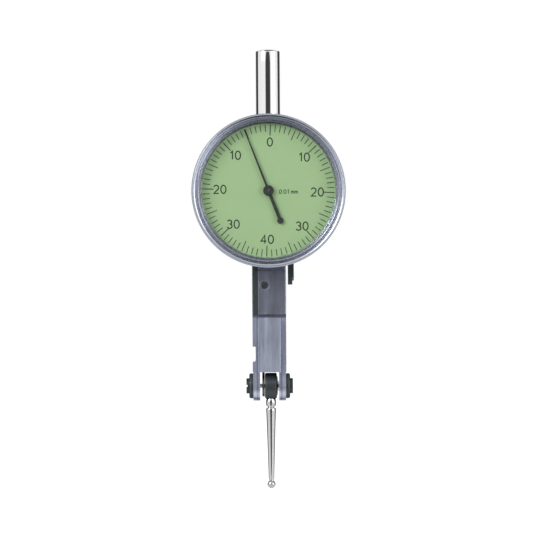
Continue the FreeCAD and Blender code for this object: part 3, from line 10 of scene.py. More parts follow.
import bmesh
import bpy
import numpy as np
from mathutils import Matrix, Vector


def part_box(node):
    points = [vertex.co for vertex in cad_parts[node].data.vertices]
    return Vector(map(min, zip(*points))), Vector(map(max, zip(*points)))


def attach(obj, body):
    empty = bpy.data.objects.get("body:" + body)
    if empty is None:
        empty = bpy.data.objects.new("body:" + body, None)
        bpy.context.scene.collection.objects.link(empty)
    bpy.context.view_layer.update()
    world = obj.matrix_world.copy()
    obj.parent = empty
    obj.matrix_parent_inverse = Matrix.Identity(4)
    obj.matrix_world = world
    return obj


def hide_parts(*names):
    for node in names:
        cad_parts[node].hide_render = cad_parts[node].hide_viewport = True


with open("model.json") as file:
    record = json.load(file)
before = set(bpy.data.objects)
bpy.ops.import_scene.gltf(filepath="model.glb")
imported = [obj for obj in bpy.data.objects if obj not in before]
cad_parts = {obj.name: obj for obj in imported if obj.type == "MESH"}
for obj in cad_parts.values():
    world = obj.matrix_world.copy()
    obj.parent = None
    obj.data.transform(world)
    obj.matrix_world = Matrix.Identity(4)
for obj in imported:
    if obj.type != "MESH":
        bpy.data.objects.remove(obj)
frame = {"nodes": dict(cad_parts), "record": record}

MM = 0.001
nodes = frame["nodes"]
bpy.context.view_layer.update()

# %% [markdown]
# Everything is placed from the boxes of the exact parts, so that nothing has to be fitted by eye.
# The dial turns about a line through the bezel's middle, and heights of dial pieces are counted
# from that line's start at the seat on the frame, towards the reader.
# %% Read the places of the main parts
bezel_low, bezel_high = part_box("bezel")
dial_centre = (bezel_low + bezel_high) / 2
dial_x, dial_z = dial_centre.x, dial_centre.z
bezel_radius = (bezel_high.x - bezel_low.x) / 2
dial_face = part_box("dial_plate")[0].y
crystal_low, crystal_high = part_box("crystal")
crystal_radius = (crystal_high.x - crystal_low.x) / 2
ball_low, ball_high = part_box("contact_ball")
stylus_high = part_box("stylus")[1]
stylus_x = (ball_low.x + ball_high.x) / 2
pivot_z = (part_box("swivel_hub")[0].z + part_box("swivel_hub")[1].z) / 2
print("dial centre", round(dial_x / MM, 2), round(dial_z / MM, 2), "bezel radius", round(bezel_radius / MM, 2))

# %% [markdown]
# Most parts of a gauge are turned on a lathe or milled. Both can be drawn as a grid of places that
# is worked out in one go. Neighbours in the grid become four-sided faces, and rows that shrink to a
# point are welded, which closes the ends.
# %% A surface from a grid of places
def skin(name, places, across=True, along=False, sharp=35):
    """Makes a mesh object from places of shape (rows, columns, 3).

    Row i, column j is joined to its neighbours i + 1 and j + 1. across closes each row on itself,
    along joins the last row to the first, and edges sharper than the angle stay crisp.
    """
    rows, columns = places.shape[:2]
    row, column = np.meshgrid(
        np.arange(rows if along else rows - 1), np.arange(columns if across else columns - 1), indexing="ij"
    )
    below, beside = (row + 1) % rows, (column + 1) % columns
    corners = (
        row * columns + column, row * columns + beside, below * columns + beside, below * columns + column
    )
    mesh = bpy.data.meshes.new(name)
    mesh.from_pydata(places.reshape(-1, 3).tolist(), [], np.stack(corners, -1).reshape(-1, 4).tolist())
    return closed_object(name, mesh, sharp)


def closed_object(name, mesh, sharp=35):
    """Welds doubled places, turns the faces outwards and shades them smooth up to the sharp angle."""
    work = bmesh.new()
    work.from_mesh(mesh)
    bmesh.ops.remove_doubles(work, verts=work.verts, dist=1e-7)
    bmesh.ops.dissolve_degenerate(work, edges=work.edges, dist=1e-8)
    bmesh.ops.recalc_face_normals(work, faces=work.faces)
    work.to_mesh(mesh)
    work.free()
    mesh.polygons.foreach_set("use_smooth", np.ones(len(mesh.polygons), bool))
    mesh.set_sharp_from_angle(angle=math.radians(sharp))
    piece = bpy.data.objects.new(name, mesh)
    bpy.context.scene.collection.objects.link(piece)
    print(name, "has", len(mesh.polygons), "faces")
    return piece


# %% [markdown]
# A lathe profile is a list of radius and height pairs. Real turned edges are never knife sharp, so
# each corner is swapped for a short parabola: it starts and ends a little way before and after the
# corner and is pulled towards it. A broken edge catches a thin light, which is most of what makes
# metal look like metal.
# %% Turned forms
FRONT = (np.array([1.0, 0, 0]), np.array([0, 0, 1.0]), np.array([0, -1.0, 0]))
UP = (np.array([1.0, 0, 0]), np.array([0, 1.0, 0]), np.array([0, 0, 1.0]))
LARGEST_CUT = 0.45  # of the run beside a corner, at most


def soften(corners, cut, steps=4, loop=True):
    """Each corner P becomes (1-t)^2 A + 2t(1-t) P + t^2 B, with A and B a cut before and after it."""
    corners = np.asarray(corners, float)
    before, after = np.roll(corners, 1, 0) - corners, np.roll(corners, -1, 0) - corners
    reach_before = np.linalg.norm(before, axis=1, keepdims=True)
    reach_after = np.linalg.norm(after, axis=1, keepdims=True)
    start = corners + before / reach_before * np.minimum(cut, reach_before * LARGEST_CUT)
    end = corners + after / reach_after * np.minimum(cut, reach_after * LARGEST_CUT)
    t = np.linspace(0, 1, steps)[None, :, None]
    curve = (1 - t) ** 2 * start[:, None] + 2 * t * (1 - t) * corners[:, None] + t**2 * end[:, None]
    if not loop:
        curve[0], curve[-1] = corners[0], corners[-1]
    return curve.reshape(-1, 2)


def turned(name, profile, centre, frame_axes, columns=96, loop=True, radius_change=None):
    """Turns (radius, height) pairs about an axis: centre + r cos(a) e1 + r sin(a) e2 + h e3.

    radius_change(angle, profile) may alter the radius over the surface, as knurling does.
    """
    first, second, axis = frame_axes
    profile = np.asarray(profile, float)
    angle = np.linspace(0, 2 * math.pi, columns, endpoint=False)[None, :]
    radius = np.repeat(profile[:, :1], columns, 1)
    if radius_change is not None:
        radius = radius + radius_change(angle, profile)
    places = (
        np.asarray(centre, float)
        + radius[..., None] * (np.cos(angle)[..., None] * first + np.sin(angle)[..., None] * second)
        + profile[:, 1][:, None, None] * axis
    )
    return skin(name, places, along=loop)


def fit_for(piece, body, slot, *stands_for):
    """Lets a new piece ride on a body in place of the exact nodes it stands for."""
    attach(piece, body)
    if stands_for:
        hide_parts(*stands_for)
    return piece


# %% [markdown]
# The eye judges a camera picture of an instrument by its angle and its lens. A long lens far away
# gives nearly parallel lines. The camera looks level along +Y and is rolled by a hair, as hand-held
# or hung gauges are never quite upright.
# %% Camera
DISTANCE = 1.2
FIELD = 129.4 * MM  # width of what the picture shows at the stem's axis
MIDDLE_X, MIDDLE_Z = -0.60 * MM, -35.05 * MM  # the middle of the picture
SENSOR = 36  # width in millimetres
ROLL = 0.35  # degrees
camera_data = bpy.data.cameras.new("camera")
camera_data.sensor_width = SENSOR
camera_data.lens = SENSOR * DISTANCE / FIELD
camera = bpy.data.objects.new("camera", camera_data)
camera.location = (MIDDLE_X, -DISTANCE, MIDDLE_Z)
camera.rotation_euler = (math.radians(90), math.radians(ROLL), 0)
bpy.context.scene.collection.objects.link(camera)
bpy.context.scene.camera = camera
bpy.context.scene.view_settings.view_transform = "Standard"
print("lens", round(camera_data.lens, 1), "mm")

# %% [markdown]
# Polished metal shows the room more than itself. Pale surroundings with dark gaps draw the dark
# lines down a chromed stem. Here the sky does that. Its brightness depends on the angle from the
# straight front alone: dark in front, light at the sides, dark in a ring beyond them and light
# again behind. Rays that only light things see an even grey, and the camera sees plain white.
# %% Sky
# The surroundings: (angle from the front as a share of the half circle, grey).
SURROUNDINGS = [(0.0, 0.05), (0.112, 0.06), (0.138, 1.0), (0.555, 0.95), (0.59, 0.05), (0.79, 0.05), (0.84, 0.9)]
LIGHTING_GREY = 0.42  # what rays that only light things see
SCALE_INPUT = 3  # place of the Vector Math node's scale among its inputs
world = bpy.data.worlds.new("studio")
bpy.context.scene.world = world
world.use_nodes = True
tree = world.node_tree
tree.nodes.clear()


def link(tree, source, target):
    tree.links.new(source, target)


def feed(tree, value, socket):
    """Links a socket given as the value, or sets a plain value."""
    if isinstance(value, bpy.types.NodeSocket):
        tree.links.new(value, socket)
    else:
        socket.default_value = value


def add_node(tree, kind, **inputs):
    """A node with some of its inputs fed, by name, or by number as _0 and _1."""
    node = tree.nodes.new(kind)
    for key, value in inputs.items():
        by_number = key[0] == "_" and key[1:].isdigit()
        feed(tree, value, node.inputs[int(key[1:]) if by_number else key.replace("_", " ")])
    return node


def add_math(tree, operation, *values, clamp=False):
    """A Math node; values are numbers or sockets. Returns its result."""
    node = tree.nodes.new("ShaderNodeMath")
    node.operation = operation
    node.use_clamp = clamp
    for value, socket in zip(values, node.inputs):
        feed(tree, value, socket)
    return node.outputs[0]


def add_vector_math(tree, operation, *vectors, scale=None):
    """A Vector Math node; vectors are triples or sockets. Returns its outputs, Vector and Value."""
    node = tree.nodes.new("ShaderNodeVectorMath")
    node.operation = operation
    for vector, socket in zip(vectors, node.inputs):
        feed(tree, vector, socket)
    if scale is not None:
        feed(tree, scale, node.inputs[SCALE_INPUT])
    return node.outputs


def add_group(tree, group, **inputs):
    """A node that uses a group, with some of the group's inputs fed. Returns its outputs."""
    node = tree.nodes.new("ShaderNodeGroup")
    node.node_tree = group
    for label, value in inputs.items():
        feed(tree, value, node.inputs[label])
    return node.outputs


def add_ramp(tree, value, stops, interpolation="EASE"):
    """A colour ramp; stops are (position, grey or colour)."""
    node = add_node(tree, "ShaderNodeValToRGB", Fac=value)
    ramp = node.color_ramp
    ramp.interpolation = interpolation
    while len(ramp.elements) < len(stops):
        ramp.elements.new(0.5)
    for element, (position, colour) in zip(ramp.elements, stops):
        element.position = position
        element.color = (*colour, 1) if isinstance(colour, tuple) else (colour, colour, colour, 1)
    return node.outputs["Color"]


def tent_grey(tree, place):
    """How light the surroundings are in the direction of a place, by its angle from -Y, acos(-y / length)."""
    unit = add_vector_math(tree, "NORMALIZE", place)["Vector"]
    along_front = add_math(tree, "MULTIPLY", add_node(tree, "ShaderNodeSeparateXYZ", Vector=unit).outputs["Y"], -1.0)
    turn = add_math(tree, "DIVIDE", add_math(tree, "ARCCOSINE", along_front), math.pi)
    return add_ramp(tree, turn, SURROUNDINGS)


tent = tent_grey(tree, add_node(tree, "ShaderNodeTexCoord").outputs["Generated"])
rays = add_node(tree, "ShaderNodeLightPath").outputs
plain = add_node(tree, "ShaderNodeBackground", Color=(1, 1, 1, 1), Strength=LIGHTING_GREY)
mirror = add_node(tree, "ShaderNodeBackground", Color=tent, Strength=1.0)
white = add_node(tree, "ShaderNodeBackground", Color=(1, 1, 1, 1), Strength=1.0)
shiny = add_math(tree, "MAXIMUM", rays["Is Glossy Ray"], rays["Is Transmission Ray"])
lit_or_mirrored = add_node(tree, "ShaderNodeMixShader", Fac=shiny, _1=plain.outputs[0], _2=mirror.outputs[0])
all_rays = add_node(
    tree, "ShaderNodeMixShader", Fac=rays["Is Camera Ray"], _1=lit_or_mirrored.outputs[0], _2=white.outputs[0]
)
link(tree, all_rays.outputs[0], add_node(tree, "ShaderNodeOutputWorld").inputs["Surface"])
print("sky nodes:", len(tree.nodes))

# %% [markdown]
# Two large soft lamps stand in front, the stronger one on the left, so that edges on the left are
# a little brighter. The floor is a plain pale sheet just under the ball. To the camera it glows a
# little, so that it stays white but still takes the shadow of the gauge. Mirrors see the sky's
# light and dark go on in it, counted from a point just above the floor.
# %% Lamps and floor
def soft_lamp(name, place, aim, size, power):
    lamp = bpy.data.lights.new(name, "AREA")
    lamp.shape = "SQUARE"
    lamp.size = size
    lamp.energy = power
    holder = bpy.data.objects.new(name, lamp)
    holder.location = place
    towards = np.array(aim) - np.array(place)
    holder.rotation_euler = (
        math.atan2(math.hypot(towards[0], towards[1]), -towards[2]), 0, math.atan2(-towards[0], towards[1])
    )
    bpy.context.scene.collection.objects.link(holder)
    return holder


GLOW = 0.72  # of the floor, to the camera
FLOOR_REACH = 6  # metres from the middle
FLOOR_GAP = 0.05 * MM  # between the ball and the floor
MIRROR_HEIGHT = 12 * MM  # over the ball's lowest point

middle = (0, 0, -35 * MM)
soft_lamp("lamp_left", (-0.75, -0.75, 0.42), middle, 0.55, 7.0)
soft_lamp("lamp_right", (0.8, -0.6, 0.15), middle, 0.5, 3.0)

floor_places = FLOOR_REACH * np.array([[[-1, -1, 0], [1, -1, 0]], [[-1, 1, 0], [1, 1, 0]]], float)
floor_places[..., 2] = ball_low.z - FLOOR_GAP
floor = skin("floor", floor_places, across=False)
floor_material = bpy.data.materials.new("pale_floor")
floor_material.use_nodes = True
tree = floor_material.node_tree
tree.nodes.clear()
floor_rays = add_node(tree, "ShaderNodeLightPath").outputs
seen = add_math(tree, "MAXIMUM", floor_rays["Is Camera Ray"], floor_rays["Is Transmission Ray"])
matt = add_node(tree, "ShaderNodeBsdfDiffuse", Color=(0.8, 0.8, 0.8, 1))
glow = add_node(tree, "ShaderNodeEmission", Color=(1, 1, 1, 1), Strength=GLOW)
lit = add_node(tree, "ShaderNodeAddShader", _0=matt.outputs[0], _1=glow.outputs[0])
mixed = add_node(tree, "ShaderNodeMixShader", Fac=seen, _1=matt.outputs[0], _2=lit.outputs[0])
below = add_vector_math(
    tree, "SUBTRACT", add_node(tree, "ShaderNodeTexCoord").outputs["Object"], (0, 0, ball_low.z + MIRROR_HEIGHT)
)["Vector"]
mirrored = add_node(tree, "ShaderNodeEmission", Color=tent_grey(tree, below), Strength=1.0)
final = add_node(
    tree, "ShaderNodeMixShader", Fac=floor_rays["Is Glossy Ray"], _1=mixed.outputs[0], _2=mirrored.outputs[0]
)
link(tree, final.outputs[0], add_node(tree, "ShaderNodeOutputMaterial").inputs["Surface"])
floor.data.materials.append(floor_material)

# %% [markdown]
# Three effects turn up on almost every metal here: the fine lines that a grinding belt leaves, the
# rings that a lathe tool leaves, and the faint patches of handling. A fourth darkens the frame above
# its rails and paints shade into the undercut beside them. Each is a node group, made once, that
# puts out a height for the bump, a tone, or both. The materials set how strong each one is.
# %% Shared effects
def effect(name, inputs, outputs):
    """An empty node group; returns it, its inputs as sockets to read and its outputs as sockets to feed."""
    group = bpy.data.node_groups.new(name, "ShaderNodeTree")
    for label, value in inputs.items():
        kind = "NodeSocketVector" if isinstance(value, tuple) else "NodeSocketFloat"
        group.interface.new_socket(label, in_out="INPUT", socket_type=kind).default_value = value
    for label in outputs:
        group.interface.new_socket(label, in_out="OUTPUT", socket_type="NodeSocketFloat")
    return group, group.nodes.new("NodeGroupInput").outputs, group.nodes.new("NodeGroupOutput").inputs


def object_place(tree):
    return add_node(tree, "ShaderNodeTexCoord").outputs["Object"]


# Ground: noise drawn out along one direction, many fine lines across the other two.
ground_lines, given, put_out = effect(
    "ground_lines", {"Stretch": (1.0, 1.0, 1.0), "Fineness": 9000.0}, ["Height", "Tone"]
)
spread = add_vector_math(ground_lines, "MULTIPLY", object_place(ground_lines), given["Stretch"])["Vector"]
fine = add_node(
    ground_lines, "ShaderNodeTexNoise", Vector=spread, Scale=given["Fineness"], Detail=3.0, Roughness=0.65
).outputs["Fac"]
broad = add_node(
    ground_lines, "ShaderNodeTexNoise", Vector=spread,
    Scale=add_math(ground_lines, "MULTIPLY", given["Fineness"], 0.12), Detail=2.0,
).outputs["Fac"]
half_fine = add_math(ground_lines, "MULTIPLY", fine, 0.5)
half_broad = add_math(ground_lines, "MULTIPLY", broad, 0.5)
link(ground_lines, fine, put_out["Height"])
link(ground_lines, add_math(ground_lines, "ADD", half_fine, half_broad), put_out["Tone"])

# Turned: noise of the distance from an axis alone, so that it makes rings of uneven depth.
turned_rings, given, put_out = effect(
    "turned_rings", {"Centre": (0.0, 0.0, 0.0), "Keep": (1.0, 0.0, 1.0), "Fineness": 6000.0}, ["Height", "Tone"]
)
offset = add_vector_math(turned_rings, "SUBTRACT", object_place(turned_rings), given["Centre"])["Vector"]
flat = add_vector_math(turned_rings, "MULTIPLY", offset, given["Keep"])["Vector"]
distance = add_vector_math(turned_rings, "LENGTH", flat)["Value"]
rings = add_node(
    turned_rings, "ShaderNodeTexNoise",
    Vector=add_node(turned_rings, "ShaderNodeCombineXYZ", X=distance).outputs[0],
    Scale=given["Fineness"], Detail=3.0, Roughness=0.6,
).outputs["Fac"]
link(turned_rings, rings, put_out["Height"])
link(turned_rings, rings, put_out["Tone"])

# Handling: soft patches, a few millimetres wide, where skin has dulled the surface.
handling, given, put_out = effect("handling", {"Size": 180.0, "Amount": 0.12}, ["Tone"])
patches = add_node(
    handling, "ShaderNodeTexNoise", Vector=object_place(handling), Scale=given["Size"], Detail=4.0, Roughness=0.55
).outputs["Fac"]
centred = add_math(handling, "SUBTRACT", patches, 0.5)
link(handling, add_math(handling, "MULTIPLY", centred, given["Amount"]), put_out["Tone"])

# Frame tone: the body above the rails gets a darker colour than the rails, and painted shade
# darkens the undercut beside the rails, as if the rails' overhang shaded it.
RAIL_TOP = pivot_z + 16.7 * MM
RAIL_HALF_WIDTH = 2.74 * MM
UNDERCUT_MIDDLE = 0.18 * MM  # from the rail's edge
ZONE_FADE = 0.3 * MM  # over which one zone becomes the next
UPPER_TONE = 0.52
# share of the colour taken off by the painted shade in the undercut beside the rails
PAINTED_UNDERCUT_SHADE = 0.45
frame_tone_and_painted_shade, _, put_out = effect("frame_tone_and_painted_shade", {}, ["Tone"])
spot = add_node(frame_tone_and_painted_shade, "ShaderNodeSeparateXYZ", Vector=object_place(frame_tone_and_painted_shade)).outputs
under_top = add_math(frame_tone_and_painted_shade, "SUBTRACT", RAIL_TOP, spot["Z"])
low = add_math(frame_tone_and_painted_shade, "DIVIDE", under_top, ZONE_FADE, clamp=True)
beside = add_math(frame_tone_and_painted_shade, "SUBTRACT", add_math(frame_tone_and_painted_shade, "ABSOLUTE", spot["X"]), RAIL_HALF_WIDTH)
off_middle = add_math(frame_tone_and_painted_shade, "ABSOLUTE", add_math(frame_tone_and_painted_shade, "SUBTRACT", beside, UNDERCUT_MIDDLE))
near = add_math(frame_tone_and_painted_shade, "SUBTRACT", 1.0, add_math(frame_tone_and_painted_shade, "DIVIDE", off_middle, ZONE_FADE), clamp=True)
brighter = add_math(frame_tone_and_painted_shade, "MULTIPLY", low, 1 - UPPER_TONE)
# painted shade in the undercut beside the rails, below the rails' top
undercut = add_math(frame_tone_and_painted_shade, "MULTIPLY", add_math(frame_tone_and_painted_shade, "MULTIPLY", near, low), PAINTED_UNDERCUT_SHADE)
zone_tone = add_math(frame_tone_and_painted_shade, "SUBTRACT", add_math(frame_tone_and_painted_shade, "ADD", UPPER_TONE, brighter), undercut)
link(frame_tone_and_painted_shade, zone_tone, put_out["Tone"])
print("effects:", [group.name for group in bpy.data.node_groups])

# %% [markdown]
# A finish is one shader with its constant numbers on its own sockets. What changes over the surface
# comes in through links: the colour is tinted a little by the tool marks, the roughness follows the
# marks and the handling, and a bump lays the marks into the surface. Edges are broken with the
# bevel node, which turns the normal near an edge without touching the exact part.
# %% The builder of finishes
PLAIN_GRAIN = 4000.0  # fineness of the grain where no tool left marks
BEVEL_SAMPLES = 4


def finish(name, colour, roughness, metallic=1.0, marks=None, mark_depth=2e-6, contrast=0.25, edge_wear_and_highlight=None,
           edge=0.08 * MM, handled=0.12, shade=None, **constants):
    """A procedural finish: marks is (group, its inputs), and the edge colour is the wear that edges rub down to on the
    blackened steel and a painted highlight along the edges of the satin frame.

    shade is a node group whose Tone darkens the colour from place to place.
    """
    material = bpy.data.materials.new(name)
    material.use_nodes = True
    tree = material.node_tree
    tree.nodes.clear()
    shader = add_node(tree, "ShaderNodeBsdfPrincipled", Metallic=metallic, **constants)
    patch = add_group(tree, handling, Amount=handled)
    rounded = add_node(tree, "ShaderNodeBevel", Radius=edge)
    rounded.samples = BEVEL_SAMPLES
    if marks is None:
        height = tone = add_node(
            tree, "ShaderNodeTexNoise", Vector=object_place(tree), Scale=PLAIN_GRAIN, Detail=2.0
        ).outputs["Fac"]
    else:
        mark = add_group(tree, marks[0], **marks[1])
        height, tone = mark["Height"], mark["Tone"]
    bump = add_node(
        tree, "ShaderNodeBump", Height=height, Normal=rounded.outputs[0], Strength=1.0, Distance=mark_depth
    )
    dark = tuple(channel * (1 - contrast) for channel in colour)
    light = tuple(min(1.0, channel * (1 + contrast)) for channel in colour)
    surface = add_ramp(tree, tone, [(0.3, dark), (0.7, light)], "LINEAR")
    if shade is not None:
        surface = add_vector_math(tree, "SCALE", surface, scale=add_group(tree, shade)["Tone"])["Vector"]
    if edge_wear_and_highlight is not None:
        # Near an edge the bevel's normal leaves the face's own, so their product falls below one.
        # there the colour goes over to the edge colour: wear on the blackened steel, a painted highlight on the satin
        # frame
        straight = add_node(tree, "ShaderNodeNewGeometry").outputs["Normal"]
        agree = add_vector_math(tree, "DOT_PRODUCT", rounded.outputs[0], straight)["Value"]
        edge_wear_and_highlight_mask = add_ramp(tree, agree, [(0.90, 1.0), (0.985, 0.0)], "LINEAR")
        mixing = tree.nodes.new("ShaderNodeMix")
        mixing.data_type = "RGBA"
        link(tree, edge_wear_and_highlight_mask, mixing.inputs["Factor"])
        link(tree, surface, mixing.inputs[6])
        mixing.inputs[7].default_value = (*edge_wear_and_highlight, 1)
        surface = mixing.outputs[2]
    link(tree, surface, shader.inputs["Base Color"])
    uneven = add_math(tree, "ADD", add_math(tree, "MULTIPLY", tone, roughness * 0.5), roughness * 0.75)
    link(tree, add_math(tree, "ADD", uneven, patch["Tone"], clamp=True), shader.inputs["Roughness"])
    link(tree, bump.outputs[0], shader.inputs["Normal"])
    link(tree, shader.outputs[0], add_node(tree, "ShaderNodeOutputMaterial").inputs["Surface"])
    return material


# %% [markdown]
# The list of finishes follows the real gauge. The frame is ground steel under a satin chrome, the
# moving ends are blackened, the works are brass and fine steel, and the dial is a matt print.
# %% Finishes
along_z = (ground_lines, {"Stretch": (1, 1, 0.05)})
round_dial = (turned_rings, {"Centre": (dial_x, 0.0, dial_z)})
finishes = {
    "satin_steel": finish(
        # the lighter edge colour here is a painted highlight along the frame's edges
        "satin_chrome", (0.55, 0.59, 0.74), 0.42, marks=along_z, contrast=0.14, edge_wear_and_highlight=(0.62, 0.65, 0.74),
        shade=frame_tone_and_painted_shade,
    ),
    "polished_steel": finish(
        "polished_chrome", (0.86, 0.86, 0.87), 0.07, marks=along_z, mark_depth=4e-7, contrast=0.03, handled=0.03
    ),
    "black_oxide": finish(
        "blackened_steel", (0.055, 0.068, 0.072), 0.45, 0.6, contrast=0.25, edge_wear_and_highlight=(0.30, 0.31, 0.32)
    ),
    "bezel_steel": finish("turned_chrome", (0.42, 0.45, 0.52), 0.27, marks=round_dial, contrast=0.12),
    "case_steel": finish("case_chrome", (0.42, 0.45, 0.52), 0.38, marks=round_dial, contrast=0.15),
    "dial_green": finish(
        "dial_enamel", (0.375, 0.545, 0.285), 0.62, 0.0, contrast=0.03, edge=0.03 * MM, mark_depth=5e-7
    ),
    "pointer_black": finish(
        "pointer_enamel", (0.024, 0.031, 0.030), 0.42, 0.0, contrast=0.2, edge=0.03 * MM, mark_depth=3e-7
    ),
    "works_brass": finish("works_brass", (0.72, 0.53, 0.24), 0.28, contrast=0.1, edge=0.03 * MM),
    "works_steel": finish("works_steel", (0.52, 0.52, 0.55), 0.25, contrast=0.08, edge=0.03 * MM),
    "spring_steel": finish("blued_spring", (0.045, 0.055, 0.085), 0.25, contrast=0.2, edge=0.02 * MM),
    "arm_steel": finish(
        "ground_arm", (0.60, 0.60, 0.61), 0.14, marks=along_z, mark_depth=4e-7, contrast=0.06, handled=0.03
    ),
    "ball_steel": finish(
        "lapped_ball", (0.50, 0.50, 0.51), 0.10, contrast=0.03, edge=0.01 * MM, mark_depth=2e-7, handled=0.02
    ),
}
print("finishes:", sorted(finishes))

# %% [markdown]
# Glass bends light, and a renderer that follows bent light through a window needs many rays. The
# usual way out is to let shadow rays pass straight through, so the lamps still reach the dial.
# %% The glass of the crystal
glass = bpy.data.materials.new("clear_glass")
glass.use_nodes = True
tree = glass.node_tree
tree.nodes.clear()
clear = add_node(tree, "ShaderNodeBsdfPrincipled", Metallic=0.0, IOR=1.45)
clear.inputs["Base Color"].default_value = (0.99, 1.0, 0.99, 1)
clear.inputs["Transmission Weight"].default_value = 1.0
smear = add_group(tree, handling, Amount=0.02)["Tone"]
link(tree, add_math(tree, "ADD", smear, 0.012, clamp=True), clear.inputs["Roughness"])
passing = add_node(tree, "ShaderNodeBsdfTransparent", Color=(0.97, 0.98, 0.97, 1))
shadow = add_node(tree, "ShaderNodeLightPath").outputs
straight_through = add_math(tree, "MAXIMUM", shadow["Is Shadow Ray"], shadow["Is Diffuse Ray"])
window = add_node(tree, "ShaderNodeMixShader", Fac=straight_through, _1=clear.outputs[0], _2=passing.outputs[0])
link(tree, window.outputs[0], add_node(tree, "ShaderNodeOutputMaterial").inputs["Surface"])
finishes["clear_crystal"] = glass

# %% [markdown]
# Every exact part already carries the name of its finish on a slot. Putting the new material into
# that slot dresses the part without changing its shape. The measuring lever shares its slot with the
# bright works, but its edge shows in the fork, so it gets a darker finish of its own.
# %% Dress the exact parts
slot_of = {part["node"]: part["material_slot"] for part in frame["record"]["subparts"]}
for node_name, part in nodes.items():
    part.data.materials.clear()
    part.data.materials.append(finishes[slot_of[node_name]])
# the lever gets a darker colour than the bright works that it shares a slot with
nodes["measuring_lever"].data.materials[0] = finish(
    "darker_lever", (0.13, 0.13, 0.125), 0.4, contrast=0.15, edge=0.03 * MM
)
print("dressed", len(slot_of), "parts")

# %% [markdown]
# The bezel is the ring that the user turns to bring zero under the pointer. It is turned from one
# piece: a knurled wall, a chamfer, a bright bead between two grooves, and a band that slopes in to
# the glass. The knurling is a change of radius, a row of rounded teeth that fades out at the bands
# beside it, so one formula gives the whole ring.
# %% The bezel
KNURLS = 132
KNURL_DEPTH = 0.22 * MM
KNURL_POWER = 0.8  # the lower, the wider the notches between the rounded teeth
BAND = 0.70 * MM  # plain height of the wall at either end of the knurling
KNURL_FADE = 0.2 * MM
BACK_EDGE = 0.2 * MM
WALL_SLACK = 0.05 * MM  # what lies further in than this isn't the wall
SKIRT_WALL = 1.4 * MM
LAND_WIDTH = 0.35 * MM  # how far the land reaches in under the glass
LAND_THICKNESS = 0.65 * MM
GLASS_EDGE_HEIGHT = 0.9 * MM  # of the glass's edge over its back
BEZEL_CUT = 0.09 * MM  # broken edges


def height_of(y):
    """Height over the frame's seat, along the dial's axis, of a place with this y."""
    return dial_seat - y


dial_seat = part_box("dial_case")[1].y
front, back = height_of(bezel_low.y), height_of(bezel_high.y)
glass_back, glass_front = height_of(crystal_high.y), height_of(crystal_low.y)
dial_height = height_of(dial_face)
land = crystal_radius - LAND_WIDTH
skirt = bezel_radius - SKIRT_WALL
glass_edge = glass_back + GLASS_EDGE_HEIGHT
bezel_profile = soften([
    # The wall, from the back to the chamfer, with a corner where the knurling fades out at each end.
    (skirt, back), (bezel_radius - BACK_EDGE, back), (bezel_radius, back + BACK_EDGE),
    (bezel_radius, back + BAND), (bezel_radius, back + BAND + KNURL_FADE),
    (bezel_radius, front - BAND - KNURL_FADE), (bezel_radius, front - BAND), (bezel_radius, front - 0.40 * MM),
    # The chamfer's crest and the first groove.
    (bezel_radius - 0.38 * MM, front), (bezel_radius - 0.80 * MM, front - 0.16 * MM),
    (bezel_radius - 1.06 * MM, front - 0.52 * MM), (bezel_radius - 1.22 * MM, front - 0.52 * MM),
    # The bead and the second groove.
    (bezel_radius - 1.34 * MM, front - 0.26 * MM), (bezel_radius - 1.66 * MM, front - 0.30 * MM),
    (bezel_radius - 1.76 * MM, front - 0.60 * MM), (bezel_radius - 1.94 * MM, front - 0.60 * MM),
    # The slope down to the glass, the land that glass and dial sit on, and the inside of the skirt.
    (crystal_radius, glass_edge + 0.20 * MM), (crystal_radius, glass_back), (land + 0.05 * MM, glass_back),
    (land - 0.12 * MM, dial_height + 0.04 * MM), (land, dial_height), (crystal_radius, dial_height),
    (crystal_radius, dial_height - LAND_THICKNESS), (skirt, dial_height - LAND_THICKNESS),
], BEZEL_CUT)


def knurling(angle, profile):
    """-depth * mask(h) * (1 - |cos(n a / 2)|)^0.8 on the outer wall, so that notches fade out at both ends."""
    height, radius = profile[:, 1:], profile[:, :1]
    over_back = np.clip((height - back - BAND) / KNURL_FADE, 0, 1)
    under_front = np.clip((front - BAND - height) / KNURL_FADE, 0, 1)
    mask = over_back * under_front * (radius > bezel_radius - WALL_SLACK)
    return -KNURL_DEPTH * mask * (1 - np.abs(np.cos(KNURLS * angle / 2))) ** KNURL_POWER


bezel = turned(
    "bezel_ring", bezel_profile, (dial_x, dial_seat, dial_z), FRONT, KNURLS * 6, radius_change=knurling
)
bezel.data.materials.append(finishes["bezel_steel"])
fit_for(bezel, "bezel_assembly", "bezel_steel", "bezel")

# %% [markdown]
# The crystal is a thin window with a slight dome. Its front is a shallow bowl turned upside down:
# the height falls off with the square of the radius, and the edge is flat where the bezel holds it.
# %% The crystal
DOME_MARGIN = 0.3 * MM  # flat ring between the dome and the land
climb = np.linspace(0, 1, 24)
rise = (glass_front - glass_edge) * climb
dome_radius = (land - DOME_MARGIN) * np.sqrt(1 - climb)
crystal_profile = np.vstack([
    [(0, glass_back), (crystal_radius * 0.5, glass_back), (crystal_radius, glass_back), (crystal_radius, glass_edge)],
    np.stack([dome_radius, glass_edge + rise], -1),
])
crystal = turned("domed_crystal", crystal_profile, (dial_x, dial_seat, dial_z), FRONT, 128, loop=False)
crystal.data.materials.append(glass)
fit_for(crystal, "bezel_assembly", "clear_crystal", "crystal")

